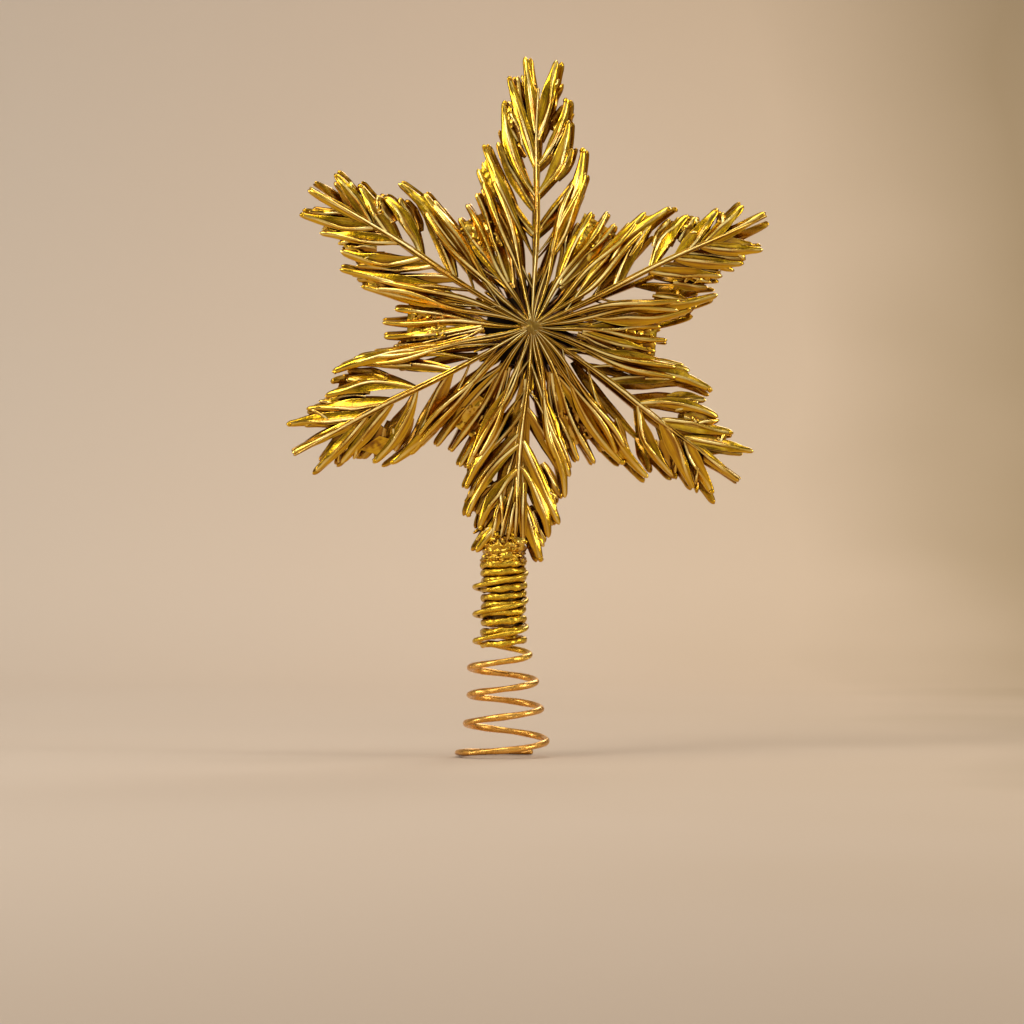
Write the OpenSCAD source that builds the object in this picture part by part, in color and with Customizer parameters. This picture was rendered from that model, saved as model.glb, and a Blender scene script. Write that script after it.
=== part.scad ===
// Tree topper star: two layers of fern-like fronds on a dark hub, a stem and a spring coil for the leader.
// The star faces -Y. The origin is the centre of the coil's lowest turn, +Z is up.

/* [Star] */
// Reach of an arm, from the hub's centre to the end of its midrib
arm_reach = 104; // [85:1:125]
// Reach of the blades in the notch between two arms
notch_reach = 56; // [46:1:66]
// Height of the crest over the star's middle plane, at the hub
crest_height = 15; // [13:0.5:19]
// Least height of a blade's edge over the star's middle plane
edge_height = 2.4; // [2:0.1:3.4]
// Sideways place of the hub from the coil's axis
hub_x = 12; // [0:0.5:16]
// Gap between the bottom arm's midrib and the tape band under it
tip_gap = 2.4; // [1:0.1:12]

/* [Blades] */
// Width of a midrib
midrib_w = 3.2; // [2:0.1:4.2]
// Width of a leaflet
leaflet_w = 5.2; // [3:0.1:5.6]
// Width of a long rib that runs out from the hub
rib_w = 3.4; // [2:0.1:3.6]
// Width of a blade in a notch
spray_w = 3.9; // [2.4:0.1:4.1]
// Height of a blade's ridge over its edges
blade_rise = 1.2; // [0.4:0.1:1.6]
// Height of a midrib's ridge over its edges
midrib_rise = 2; // [1:0.1:2.6]
// Height of a long rib's ridge over its edges
rib_rise = 2.5; // [1:0.1:3]
// Depth of a blade's keel under its edges
blade_keel = 1.1; // [0.6:0.1:1.4]
// Drop of the lower leaves that show between the leaflets
lower_drop = 0.8; // [0.6:0.1:1.1]
// Thickness of the web between two blades
web_t = 0.8; // [0.5:0.1:1]

/* [Hub] */
// Radius of the dark core's drum
core_r = 15; // [12:0.5:18]
// Half of the drum's depth
core_half = 6; // [5:0.5:8]
// Radius of the core's rim
rim_r = 22; // [19:0.5:25]
// Half of the rim's depth
rim_half = 2.6; // [2.3:0.1:3.4]
// Radius of the post that the blades are seated on
post_r = 5.6; // [5:0.1:7]
// Inner radius of the blades' root pads
pad_in_r = 3.5; // [3.1:0.1:4.2]
// Thickness of a root pad
pad_t = 2.6; // [2:0.1:3]
// Depth of a pad's seat under the crest
seat_drop = 1.6; // [1.2:0.1:2]
// Radius of the centre button's head
button_r = 4.2; // [3.8:0.1:5]
// Height of the button's head
button_h = 2; // [1:0.1:3]
// Radius of the centre pin
pin_r = 1.2; // [0.8:0.1:1.6]
// Length of the pin inside a button
pin_grip = 2; // [1:0.1:3]

/* [Stem] */
// Radius of the stem rod
rod_r = 2; // [1.5:0.1:2.6]
// Length of the rod held in the sleeve
rod_grip = 7.5; // [5:0.5:9]
// Place of the rod's upper end, from the hub's centre
rod_end_r = 7.5; // [6:0.5:11]
// Thickness of the sleeve's wall round the leader's hole
sleeve_wall = 1.3; // [1:0.1:2]
// Depth of the leader's hole
leader_depth = 20; // [12:1:21]
// Sideways place of the sleeve from the coil's axis
sleeve_x = 0.6; // [0:0.1:0.9]
// Height of the sleeve's lower end
sleeve_low = 52.4; // [50:0.2:54]
// Length of the sleeve
sleeve_len = 31.6; // [31:0.2:34]
// Thickness of the tape band wound on the sleeve's top
band_t = 3.8; // [2.6:0.1:4]
// Height of the tape band
band_h = 5.8; // [4:0.1:6]

/* [Wires] */
// Diameter of the coil wire
coil_wire_d = 2.9; // [2.2:0.1:3]
// Radius of the coil's foot, to the wire's middle
coil_foot_r = 17.4; // [15:0.1:20]
// Radius of the coil's top turns, to the wire's middle
coil_top_r = 11.4; // [10.4:0.1:12]
// Rise of the coil in each of its upper turns
coil_pitch = 10.8; // [10.6:0.1:10.9]
// Sideways sway of the coil's turns
coil_sway = 1.4; // [0:0.1:1.5]
// Diameter of the binding wire
bind_wire_d = 2.8; // [2:0.1:2.8]
// Gap between two turns of the binding
bind_gap = 0.45; // [0.42:0.01:0.8]
// Length of the binding under the sleeve
bind_tail = 7.5; // [5:0.5:9]

/* [Hidden] */
// Clearance of a piece that is pushed into another
fit_gap = 0.05;
// Gap between wires, and between a wire and what it lies round or under
wire_gap = 0.3;
// Gap between the sleeve and what is wound on it
wrap_gap = 0.1;
// Gap between the coil and the binding inside it, where the coil sways in most
coil_gap = 0.35;
// Overrun of a cut
over = 1;

arm_names = ["top", "upper_right", "lower_right", "bottom", "lower_left", "upper_left"];
notch_names = ["top_right", "right", "bottom_right", "bottom_left", "left", "top_left"];
layer_names = ["front", "rear"];
// Arm directions, clockwise from straight up, seen from the front
arm_angles = [1.5, 64.5, 126, 184.6, 241.8, 302.2];
// Turn of the rear layer against the front one
rear_turn = 1.2;

// Angles of the two long ribs beside the midrib, on the front layer and on the rear one
rib_angles = [[10, 19.5], [6, 15]];
// Half of a root pad's angle, on a frond and on a spray
frond_pad_angle = 23.5;
spray_pad_angle = 3.4;
// Angle between two blades of a spray, at their tips
spray_spread = 5.6;
// Radius where blades start, inside the pads
root_r = (pad_in_r + post_r) / 2;
seat_level = crest_height - seat_drop;

// Crest of an arm along its reach: place, height
crest_shares = [[0, 1], [0.06, 1], [0.3, 0.85], [0.5, 0.7], [0.7, 0.52], [0.85, 0.38], [1.05, 0.24]];
// Valley of a notch along its reach: place, height
valley_shares = [[0, 1], [0.09, 0.98], [0.3, 0.85], [0.55, 0.57], [0.8, 0.27], [0.92, 0.18], [1.1, 0.165]];
// Fall of an arm's side for each step across
roof_share = 0.3;

// Widths of a blade from its root to its tip
midrib_shares = [0.28, 0.62, 0.9, 1, 0.95, 0.85, 0.5];
leaflet_shares = [0.3, 0.75, 1, 0.9, 0.42];
lower_shares = [0.5, 0.9, 0.9, 0.4];
rib_shares = [0.2, 0.55, 0.85, 1, 0.6];
stalk_shares = [0.16, 0.5, 0.78, 1, 1, 0.45];
spray_shares = [0.35, 0.8, 1, 0.85, 0.4];
// Bow of a blade, outward from its straight line
leaflet_bow_share = 0.09;
rib_bow_share = -0.02;
spray_bow_share = 0.05;

// Ends of the midribs, along the reach
end_shares = [0.92, 1, 0.99, 0.81, 1.04, 1.01];
// Where the leaflets leave the midrib, along the reach, outermost first
joint_shares = [0.72, 0.61, 0.5, 0.4, 0.31];
// How far down the joints sit on each arm
joint_scale_shares = [1, 1, 1, 0.88, 1, 1];
// Arms whose two sides are exchanged on the rear layer, so that its tips show beside the front ones
rear_exchange = [0, 1, 1, 0, 1, 0];
// Leaflet tips, right side then left side of each arm, as [across, along] of the reach, outermost first
tip_shares = [
    [[[0.068, 1.03], [0.11, 0.885], [0.12, 0.8], [0.18, 0.695], [0.19, 0.6]],
     [[0.054, 1.04], [0.115, 0.965], [0.13, 0.87], [0.205, 0.7], [0.225, 0.605]]],
    [[[0.112, 0.93], [0.127, 0.842], [0.137, 0.745], [0.192, 0.7], [0.2, 0.585]],
     [[0.073, 0.935], [0.104, 0.842], [0.131, 0.73], [0.188, 0.681], [0.212, 0.585]]],
    [[[0.108, 0.938], [0.135, 0.865], [0.142, 0.773], [0.204, 0.7], [0.219, 0.596]],
     [[0.115, 0.969], [0.127, 0.865], [0.142, 0.781], [0.212, 0.704], [0.222, 0.588]]],
    [[[0.145, 0.877], [0.14, 0.79], [0.19, 0.746], [0.205, 0.638], [0.205, 0.56]],
     [[0.108, 0.895], [0.127, 0.8], [0.165, 0.746], [0.178, 0.642], [0.19, 0.56]]],
    [[[0.119, 1.008], [0.135, 0.912], [0.142, 0.827], [0.212, 0.758], [0.219, 0.662]],
     [[0.092, 0.992], [0.112, 0.892], [0.169, 0.785], [0.204, 0.727], [0.208, 0.646]]],
    [[[0.096, 0.958], [0.112, 0.858], [0.123, 0.75], [0.196, 0.731], [0.215, 0.627]],
     [[0.108, 0.988], [0.127, 0.885], [0.142, 0.781], [0.204, 0.746], [0.215, 0.642]]]];
// Leaflets above which a see-through gap lies beside the midrib, right side then left side of each arm
gap_joints = [
    [[1, 2, 3], [2]], [[3, 4], [2, 3]], [[2, 3, 4], [2, 3]],
    [[1, 2], [1, 3]], [[2, 3], [2, 3]], [[2, 3], [2]]];
// Lower leaves: how far they reach towards the middle between two tips, and their keel against a leaflet's
lower_reach_share = 0.94;
lower_keel_share = 0.5;
// Outline of the tape band, from the sleeve outward and up
band_shares = [[0, 0], [0.8, 0], [1, 0.25], [0.85, 0.5], [1, 0.75], [0.7, 1], [0, 1]];
// How far the two long ribs follow the line to the last two tips
rib_stop_shares = [0.8, 0.92];
// Corners of a frond's web: along the last two leaflets, as shares of their tips
web_shares = [[3, 0.93], [3, 0.76], [4, 0.84], [4, 0.97]];
// Reaches of a spray's blades: left, middle, right
spray_reach_shares = [
    [0.93, 0.99, 0.95], [0.92, 0.97, 0.9], [1.02, 1.07, 1.01],
    [1.12, 1.06, 1.09], [1.06, 1.07, 0.99], [0.94, 1, 1.04]];
// Where a spray forks, and where its web starts and ends, along its reach
fork_share = 0.36;
spray_web_shares = [0.7, 0.9];

// Rise of the coil by turns, in pitches: a closed foot, a wide first turn, then steady turns
coil_rise_shares = [[0, 0], [0.3, 0], [0.6, 0.16], [1.6, 1.42], [7.2, 7.02]];
// Flare of the coil by turns, from its top radius to its foot radius
coil_flare_shares = [[0, 1], [0.8, 1], [1.6, 0.55], [2.6, 0.32], [3.6, 0.16], [4.6, 0.05], [5.6, 0]];
// Sway of the coil by turns
coil_sway_shares = [[0, -0.4], [1.6, 1], [2.6, 0.5], [3.6, -0.3], [4.6, -0.7], [7.2, -0.6]];
coil_turns = 7.2;
coil_start = 54;
bind_start = 200;
rings = 24;
wire_sides = 6;

// The sleeve and its binding fill the coil's top turns
sleeve_r = coil_top_r - coil_wire_d / 2 - coil_sway - coil_gap - bind_wire_d - wrap_gap;
leader_r = sleeve_r - sleeve_wall;
sleeve_high = sleeve_low + sleeve_len;
band_high = sleeve_high + over;
band_low = band_high - band_h;
// The star stands clear of the band by its bottom arm
hub_z = band_high + tip_gap + end_shares[3] * arm_reach;
rod_lean = atan((hub_x - sleeve_x) / (hub_z - sleeve_high));
rod_run = norm([hub_x - sleeve_x, hub_z - sleeve_high]);
bind_r = sleeve_r + wrap_gap + bind_wire_d / 2;
bind_pitch = bind_wire_d + bind_gap;
bind_low = sleeve_low - bind_tail;
bind_high = band_low - wire_gap - bind_wire_d / 2;
// Turns of the binding's loose tail, and its tight turns above
bind_tail_turns = 1.5;
bind_turns = bind_tail_turns + (bind_high - sleeve_low) / bind_pitch;

// Places in the star's plane, as [across, along] of an arm or a notch that points up.
function polar(r, angle) = r * [sin(angle), cos(angle)];

// Height of the star's surface over its middle plane.
function arm_level(p) =
    max(edge_height, crest_height * lookup(p[1] / arm_reach, crest_shares) - roof_share * abs(p[0]));
function notch_level(p) = max(edge_height, crest_height * lookup(norm(p) / notch_reach, valley_shares));
function level(p, notch) = notch ? notch_level(p) : arm_level(p);

// One ring of a blade: ridge, inner edge, keel, outer edge.
function blade_ring(p, out, rise, keel, drop, notch) = [
    [p[0], p[1], level(p, notch) - drop + rise],
    [p[0] - out[0], p[1] - out[1], level(p - out, notch) - drop],
    [p[0], p[1], level(p, notch) - drop - keel],
    [p[0] + out[0], p[1] + out[1], level(p + out, notch) - drop]];

function strip_faces(count, sides) = concat(
    [for (i = [0 : count - 2], k = [0 : sides - 1])
        let (a = i * sides + k, b = i * sides + (k + 1) % sides)
        each [[a, b, b + sides], [a, b + sides, a + sides]]],
    [for (k = [1 : sides - 2]) [0, k + 1, k]],
    [for (k = [1 : sides - 2]) let (last = (count - 1) * sides) [last, last + k, last + k + 1]]);

// A blade from root to tip, bowed outward, whose rings follow the star's surface.
module blade(
    root, tip, bow_share, width, width_shares,
    notch = false, rise = blade_rise, keel = blade_keel, drop = 0) {
    run = tip - root;
    aside = [run[1], -run[0]];
    count = len(width_shares);
    points = [
        for (i = [0 : count - 1])
            let (
                t = i / (count - 1),
                p = root + run * t + aside * bow_share * 4 * t * (1 - t),
                heading = run + aside * bow_share * 4 * (1 - 2 * t),
                out = [heading[1], -heading[0]] / norm(heading) * width / 2 * width_shares[i])
            each blade_ring(p, out, rise * width_shares[i], keel * width_shares[i], drop, notch)];
    polyhedron(points, strip_faces(count, 4));
}

// A thin web over four corners of the star's surface.
module web(corners, notch = false) {
    points = [
        for (side = [0, 1], c = corners)
            [c[0], c[1], level(c, notch) - blade_keel / 2 + (side - 1 / 2) * web_t]];
    faces = [
        [0, 1, 2], [0, 2, 3], [4, 6, 5], [4, 7, 6],
        for (k = [0 : 3]) let (m = (k + 1) % 4) each [[k, k + 4, m + 4], [k, m + 4, m]]];
    polyhedron(points, faces);
}

module root_pad(half_angle) {
    translate([0, 0, seat_level])
        linear_extrude(pad_t)
            polygon([
                for (k = [-2 : 2]) polar(post_r, half_angle * k / 2),
                for (k = [-2 : 2]) polar(pad_in_r, -half_angle * k / 2)]);
}

// From the star's flat drawing to its place: across to X, along to Z, up from the page to -Y.
module placed(angle, layer) {
    translate([hub_x, 0, hub_z])
        rotate([90, 0, 0])
            rotate([0, 0, -angle - layer * rear_turn])
                mirror([0, 0, layer])
                    children();
}

module frond(i, layer) {
    right = layer * rear_exchange[i];
    color("goldenrod")
        placed(arm_angles[i], layer) {
            root_pad(frond_pad_angle);
            blade(
                [0, root_r], [0, end_shares[i] * arm_reach], 0, midrib_w, midrib_shares, rise = midrib_rise);
            frond_side(i, layer, tip_shares[i][right], gap_joints[i][0]);
            mirror([1, 0, 0]) frond_side(i, layer, tip_shares[i][1 - right], gap_joints[i][1]);
        }
}

// The right half of a frond: leaflets, lower leaves between them, long ribs from the hub, and a web.
module frond_side(i, layer, tips, gaps) {
    joints = joint_shares * joint_scale_shares[i] * arm_reach;
    for (k = [0 : 4])
        blade([0, joints[k]], tips[k] * arm_reach, leaflet_bow_share, leaflet_w, leaflet_shares);
    for (k = [1 : 4])
        if (len(search(k, gaps)) == 0)
            blade(
                [0, (joints[k - 1] + joints[k]) / 2],
                (tips[k - 1] + tips[k]) / 2 * lower_reach_share * arm_reach,
                leaflet_bow_share, leaflet_w, lower_shares,
                keel = blade_keel * lower_keel_share, drop = lower_drop);
    for (k = [0, 1])
        blade(polar(root_r, rib_angles[layer][k]), tips[k + 3] * rib_stop_shares[k] * arm_reach,
            rib_bow_share, rib_w, rib_shares, rise = rib_rise);
    web([for (c = web_shares) tips[c[0]] * c[1] * arm_reach]);
}

module spray(i, layer) {
    next = arm_angles[(i + 1) % 6] + (i == 5 ? 360 : 0);
    reach = spray_reach_shares[i] * notch_reach;
    color("darkgoldenrod")
        placed((arm_angles[i] + next) / 2, layer) {
            root_pad(spray_pad_angle);
            blade([0, root_r], [0, reach[1]], 0, spray_w, stalk_shares, true);
            for (side = [-1, 1])
                blade([0, fork_share * notch_reach], polar(reach[side + 1], side * spray_spread),
                    side * spray_bow_share, spray_w, spray_shares, true);
            web([
                for (c = [[-1, 1], [-1, 0], [1, 0], [1, 1]])
                    polar(spray_web_shares[c[1]] * notch_reach, c[0] * spray_spread)], true);
        }
}

module button(layer) {
    color("gold")
        placed(0, layer)
            difference() {
                rotate_extrude($fn = 48)
                    polygon([
                        [0, seat_level],
                        [pad_in_r - wrap_gap * 2, seat_level],
                        [pad_in_r - wrap_gap * 2, seat_level + pad_t],
                        [button_r, seat_level + pad_t],
                        [button_r, seat_level + pad_t + button_h / 2],
                        [button_r - button_h / 2, seat_level + pad_t + button_h],
                        [0, seat_level + pad_t + button_h]]);
                translate([0, 0, seat_level - over])
                    cylinder(h = pin_grip + fit_gap + over, r = pin_r + fit_gap, $fn = 32);
            }
}

module core_hub() {
    color("dimgray")
        placed(0, 0)
            difference() {
                rotate_extrude($fn = 64)
                    polygon([
                        [pin_r + fit_gap, -seat_level],
                        [post_r, -seat_level],
                        [post_r, -core_half],
                        [core_r, -core_half],
                        [rim_r, -rim_half],
                        [rim_r, rim_half],
                        [core_r, core_half],
                        [post_r, core_half],
                        [post_r, seat_level],
                        [pin_r + fit_gap, seat_level]]);
                rotate([0, 0, -rod_lean])
                    rotate([90, 0, 0])
                        translate([0, 0, rod_end_r - fit_gap])
                            cylinder(h = rim_r - rod_end_r + fit_gap + over, r = rod_r + fit_gap, $fn = 32);
            }
}

module centre_pin() {
    color("silver")
        placed(0, 0)
            cylinder(h = 2 * (seat_level + pin_grip), r = pin_r, center = true, $fn = 32);
}

module stem_rod() {
    color("gray")
        translate([sleeve_x, 0, sleeve_high])
            rotate([0, rod_lean, 0])
                translate([0, 0, -rod_grip])
                    cylinder(h = rod_run - rod_end_r + rod_grip, r = rod_r, $fn = 32);
}

module stem_sleeve() {
    color("peru")
        difference() {
            translate([sleeve_x, 0, sleeve_low])
                cylinder(h = sleeve_len, r = sleeve_r, $fn = 48);
            translate([sleeve_x, 0, sleeve_low - over])
                cylinder(h = leader_depth + over, r = leader_r, $fn = 48);
            translate([sleeve_x, 0, sleeve_high])
                rotate([0, rod_lean, 0])
                    translate([0, 0, -rod_grip - fit_gap])
                        cylinder(h = rod_grip + fit_gap + over, r = rod_r + fit_gap, $fn = 32);
        }
}

module tape_band() {
    inside = sleeve_r + wrap_gap;
    color("goldenrod")
        translate([sleeve_x, 0, band_low])
            rotate_extrude($fn = 48)
                polygon([for (p = band_shares) [inside + band_t * p[0], band_h * p[1]]]);
}

// Middle lines of the two wires, by turns from their lower ends. Both rise anticlockwise, seen from above.
function coil_at(t) =
    let (
        r = coil_top_r + (coil_foot_r - coil_top_r) * lookup(t, coil_flare_shares),
        angle = coil_start + 360 * t)
    [coil_sway * lookup(t, coil_sway_shares) + r * cos(angle), r * sin(angle),
     coil_wire_d / 2 + coil_pitch * lookup(t, coil_rise_shares)];

function bind_at(t) =
    let (
        angle = bind_start + 360 * t,
        tail = min(t / bind_tail_turns, 1),
        tight = max(t - bind_tail_turns, 0))
    [sleeve_x + bind_r * cos(angle), bind_r * sin(angle), bind_low + bind_tail * tail + bind_pitch * tight];

// A middle line with a straight end of one diameter at each end.
function with_ends(line, d) =
    let (last = len(line) - 1)
    concat(
        [line[0] + (line[0] - line[1]) / norm(line[0] - line[1]) * d],
        line,
        [line[last] + (line[last] - line[last - 1]) / norm(line[last] - line[last - 1]) * d]);

function unit(v) = v / norm(v);

// Rings of a tube along a line that runs round the vertical.
function tube_points(line, d) = [
    for (i = [0 : len(line) - 1])
        let (
            heading = unit(line[min(i + 1, len(line) - 1)] - line[max(i - 1, 0)]),
            side = unit(cross(heading, [0, 0, 1])),
            rise = cross(side, heading))
        for (k = [0 : wire_sides - 1])
            line[i] + d / 2 * (cos(360 * k / wire_sides) * side + sin(360 * k / wire_sides) * rise)];

module tube(line, d) {
    polyhedron(tube_points(line, d), strip_faces(len(line), wire_sides));
}

// Least gap between points of a line that lie more than half a turn apart.
function least_gap(line, d) =
    min([for (i = [0 : len(line) - 1], j = [i + rings / 2 : len(line) - 1]) norm(line[i] - line[j])]) - d;

coil_line = with_ends([for (i = [0 : coil_turns * rings]) coil_at(i / rings)], coil_wire_d);
bind_line = with_ends([for (i = [0 : bind_turns * rings]) bind_at(i / rings)], bind_wire_d);

module coil_wire() {
    echo(coil_wire_least_gap = least_gap(coil_line, coil_wire_d));
    color("darkorange") tube(coil_line, coil_wire_d);
}

module binding_wire() {
    echo(binding_wire_least_gap = least_gap(bind_line, bind_wire_d));
    color("gold") tube(bind_line, bind_wire_d);
}

for (i = [0 : 5], layer = [0, 1]) {
    frond(i, layer);
    spray(i, layer);
}
button(0);  // front_button
button(1);  // rear_button
core_hub();
centre_pin();
stem_rod();
stem_sleeve();
tape_band();
binding_wire();
coil_wire();
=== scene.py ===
import math

import bmesh
import bpy
import numpy as np
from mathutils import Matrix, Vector


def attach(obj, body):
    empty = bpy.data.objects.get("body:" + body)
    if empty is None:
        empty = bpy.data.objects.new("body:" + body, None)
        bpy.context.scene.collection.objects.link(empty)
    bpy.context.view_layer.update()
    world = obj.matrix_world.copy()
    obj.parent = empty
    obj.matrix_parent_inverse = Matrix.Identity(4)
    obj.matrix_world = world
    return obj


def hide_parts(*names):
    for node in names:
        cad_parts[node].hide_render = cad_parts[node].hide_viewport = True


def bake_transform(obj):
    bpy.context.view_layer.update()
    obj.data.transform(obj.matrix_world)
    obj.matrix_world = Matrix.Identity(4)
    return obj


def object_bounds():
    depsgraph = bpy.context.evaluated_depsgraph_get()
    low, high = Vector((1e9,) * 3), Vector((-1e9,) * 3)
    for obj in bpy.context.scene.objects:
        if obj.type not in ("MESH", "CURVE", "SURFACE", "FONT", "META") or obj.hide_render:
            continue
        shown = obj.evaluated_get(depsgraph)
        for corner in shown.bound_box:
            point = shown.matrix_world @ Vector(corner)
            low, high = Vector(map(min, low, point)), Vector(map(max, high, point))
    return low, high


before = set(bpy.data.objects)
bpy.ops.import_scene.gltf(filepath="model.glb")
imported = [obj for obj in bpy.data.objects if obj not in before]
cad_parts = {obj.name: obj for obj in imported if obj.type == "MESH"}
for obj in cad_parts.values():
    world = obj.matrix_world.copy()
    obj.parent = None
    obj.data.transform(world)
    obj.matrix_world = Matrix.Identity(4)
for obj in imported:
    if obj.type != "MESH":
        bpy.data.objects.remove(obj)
cad_low, cad_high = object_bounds()

MM = 0.001

# Names and directions, clockwise from the top; a notch follows its arm
ARM_NAMES = ["top", "upper_right", "lower_right", "bottom", "lower_left", "upper_left"]
NOTCH_NAMES = ["top_right", "right", "bottom_right", "bottom_left", "left", "top_left"]
LAYER_NAMES = ["front", "rear"]
ARM_ANGLES = [1.5, 64.5, 126, 184.6, 241.8, 302.2]

# Sizes of the star in millimetres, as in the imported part
ARM_REACH = 104.0
NOTCH_REACH = 56.0
CREST_HEIGHT = 15.0
EDGE_HEIGHT = 2.4
HUB_X = 12.0
HUB_Z = 171.64
ROOF_SHARE = 0.3
MIDRIB_W = 3.2
LEAFLET_W = 5.2
RIB_W = 3.4
SPRAY_W = 3.9
POST_R = 5.6
PAD_IN_R = 3.5
PAD_T = 2.6
SEAT_LEVEL = 13.4
PIN_BORE_R = 1.25
POST_FOOT_R = 6.2
CORE_HALF = 6.0
CORE_R = 18.8
FROND_PAD_ANGLE = 23.5
SPRAY_PAD_ANGLE = 3.4
SPRAY_SPREAD = 5.6
STEM_ANGLE = 2.8
REAR_TURN = 1.2
RIB_ANGLES = [[10, 19.5], [6, 15]]
FORK_SHARE = 0.36
CREST_SHARES = [(0, 1), (0.06, 1), (0.3, 0.85), (0.5, 0.7), (0.7, 0.52), (0.85, 0.38), (1.05, 0.24)]
VALLEY_SHARES = [(0, 1), (0.09, 0.98), (0.3, 0.85), (0.55, 0.57), (0.8, 0.27), (0.92, 0.18), (1.1, 0.165)]

# Leaves of each arm, as shares of its reach: joints on the midrib, then tips on the right and on the left
JOINT_SHARES = [0.72, 0.61, 0.5, 0.4, 0.31]
JOINT_SCALE_SHARES = [1, 1, 1, 0.88, 1, 1]
END_SHARES = [0.92, 1, 0.99, 0.81, 1.04, 1.01]
REAR_EXCHANGE = [0, 1, 1, 0, 1, 0]
TIP_SHARES = [
    [[(0.068, 1.03), (0.11, 0.885), (0.12, 0.8), (0.18, 0.695), (0.19, 0.6)],
     [(0.054, 1.04), (0.115, 0.965), (0.13, 0.87), (0.205, 0.7), (0.225, 0.605)]],
    [[(0.112, 0.93), (0.127, 0.842), (0.137, 0.745), (0.192, 0.7), (0.2, 0.585)],
     [(0.073, 0.935), (0.104, 0.842), (0.131, 0.73), (0.188, 0.681), (0.212, 0.585)]],
    [[(0.108, 0.938), (0.135, 0.865), (0.142, 0.773), (0.204, 0.7), (0.219, 0.596)],
     [(0.115, 0.969), (0.127, 0.865), (0.142, 0.781), (0.212, 0.704), (0.222, 0.588)]],
    [[(0.145, 0.877), (0.14, 0.79), (0.19, 0.746), (0.205, 0.638), (0.205, 0.56)],
     [(0.108, 0.895), (0.127, 0.8), (0.165, 0.746), (0.178, 0.642), (0.19, 0.56)]],
    [[(0.119, 1.008), (0.135, 0.912), (0.142, 0.827), (0.212, 0.758), (0.219, 0.662)],
     [(0.092, 0.992), (0.112, 0.892), (0.169, 0.785), (0.204, 0.727), (0.208, 0.646)]],
    [[(0.096, 0.958), (0.112, 0.858), (0.123, 0.75), (0.196, 0.731), (0.215, 0.627)],
     [(0.108, 0.988), (0.127, 0.885), (0.142, 0.781), (0.204, 0.746), (0.215, 0.642)]]]
SPRAY_REACH_SHARES = [
    (0.93, 0.99, 0.95), (0.92, 0.97, 0.9), (1.02, 1.07, 1.01),
    (1.12, 1.06, 1.09), (1.06, 1.07, 0.99), (0.94, 1, 1.04)]

# See-through gaps beside the midrib, right then left, by the joint above which each lies
HOLES = [((1, 2, 3), (2,)), ((3, 4), (2, 3)), ((2, 3, 4), (2, 3)),
         ((1, 2), (1, 3)), ((2, 3), (2, 3)), ((2, 3), (2,))]
# Where the leaflets leave the midrib in the dressed part, against their joints
LEAF_START_SHARES = [1, 1, 1, 0.66, 0.46]
RIB_STOP_SHARES = [0.8, 0.92]
# Lower ribs darkened with painted shade, and the arms and sides where those beyond this angle are left out
LOWER_RIB_ANGLES = [5, 14.6, 24.2]
BARE = {(5, -1): 10, (4, 1): 10, (4, -1): 10, (5, 1): 20, (3, 1): 20}
# Extra leaves of the rear layer, by arm, that narrow the widest gaps: root, tip and width in millimetres
REAR_FILL = {1: [((-0.6, 27), (-13.5, 60), 4.6), ((0.8, 45), (16, 73), 4.4)],
             2: [((0.6, 21), (9.5, 61), 4.8), ((-0.8, 47), (-17.5, 71), 4.4), ((-0.6, 24), (-10, 50), 3.4)],
             4: [((0.6, 24), (9.5, 55), 3.8)]}
# Leaves of the bottom arm over the collar, in the same terms, and the flash's low, high, left and right edges
COLLAR_LEAVES = [((-1.5, 62), (-3.2, 86), 3.6), ((1.2, 60), (0.3, 87), 3.2), ((0.5, 66), (3.6, 88), 3.4),
                 ((2.5, 64), (6.2, 87), 3.0), ((7.5, 66), (4.8, 85), 3.2), ((6.0, 68), (9.4, 86), 3.6)]
COLLAR_FLASH = (84.0, 89.0, -4.0, 10.0)
COLLAR_BEADS = 26
SPRAY_BEADS = 16
# Arms and sides with a smooth sheet between their inner leaves, and between their outer ones
SHEETS = {(0, 1), (2, -1), (3, -1), (5, 1)}
OUTER_SHEETS = {(4, -1), (1, -1), (5, -1)}

# Widths along a blade from root to tip, as shares of its full width
MIDRIB_SHARES = [0.28, 0.62, 0.9, 1, 0.95, 0.85, 0.5]
STALK_SHARES = [0.16, 0.5, 0.78, 1, 1, 0.45]
LEAF_SHARES = [0.5, 0.86, 1, 0.92, 0.66, 0.44]
LEAF_END_SHARES = [0.6, 1, 1, 0.76, 0.44]
OPEN_LEAF_SHARES = [0.3, 0.55, 0.95, 0.98, 0.66, 0.44]
INNER_LEAF_SHARES = [0.12, 0.2, 0.4, 0.8, 1, 0.84, 0.6, 0.42]
LONG_RIB_SHARES = [0.22, 0.42, 0.62, 0.9, 1, 0.6]

# A blade's section in millimetres: half widths of its crest line and rims, and heights
CREST_HALF = 0.42
RIB_CREST_HALF = 0.54
RIM_HALF = 0.26
RIM_FOOT = -0.12
RIM_TOP = 0.12
KEEL_TOP = -0.16
LOWEST = 0.45
# How uneven a blade's edges are, as a share of its width
WAVER = 0.06

# Ribs start inside this circle, under the button's head, and climb onto it
ROOT_R = (PAD_IN_R + POST_R) / 2
ROOT_CLIMB = 1.15
CLIMB_FADE = 2.2
CLIMB_START = 2.8
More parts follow.
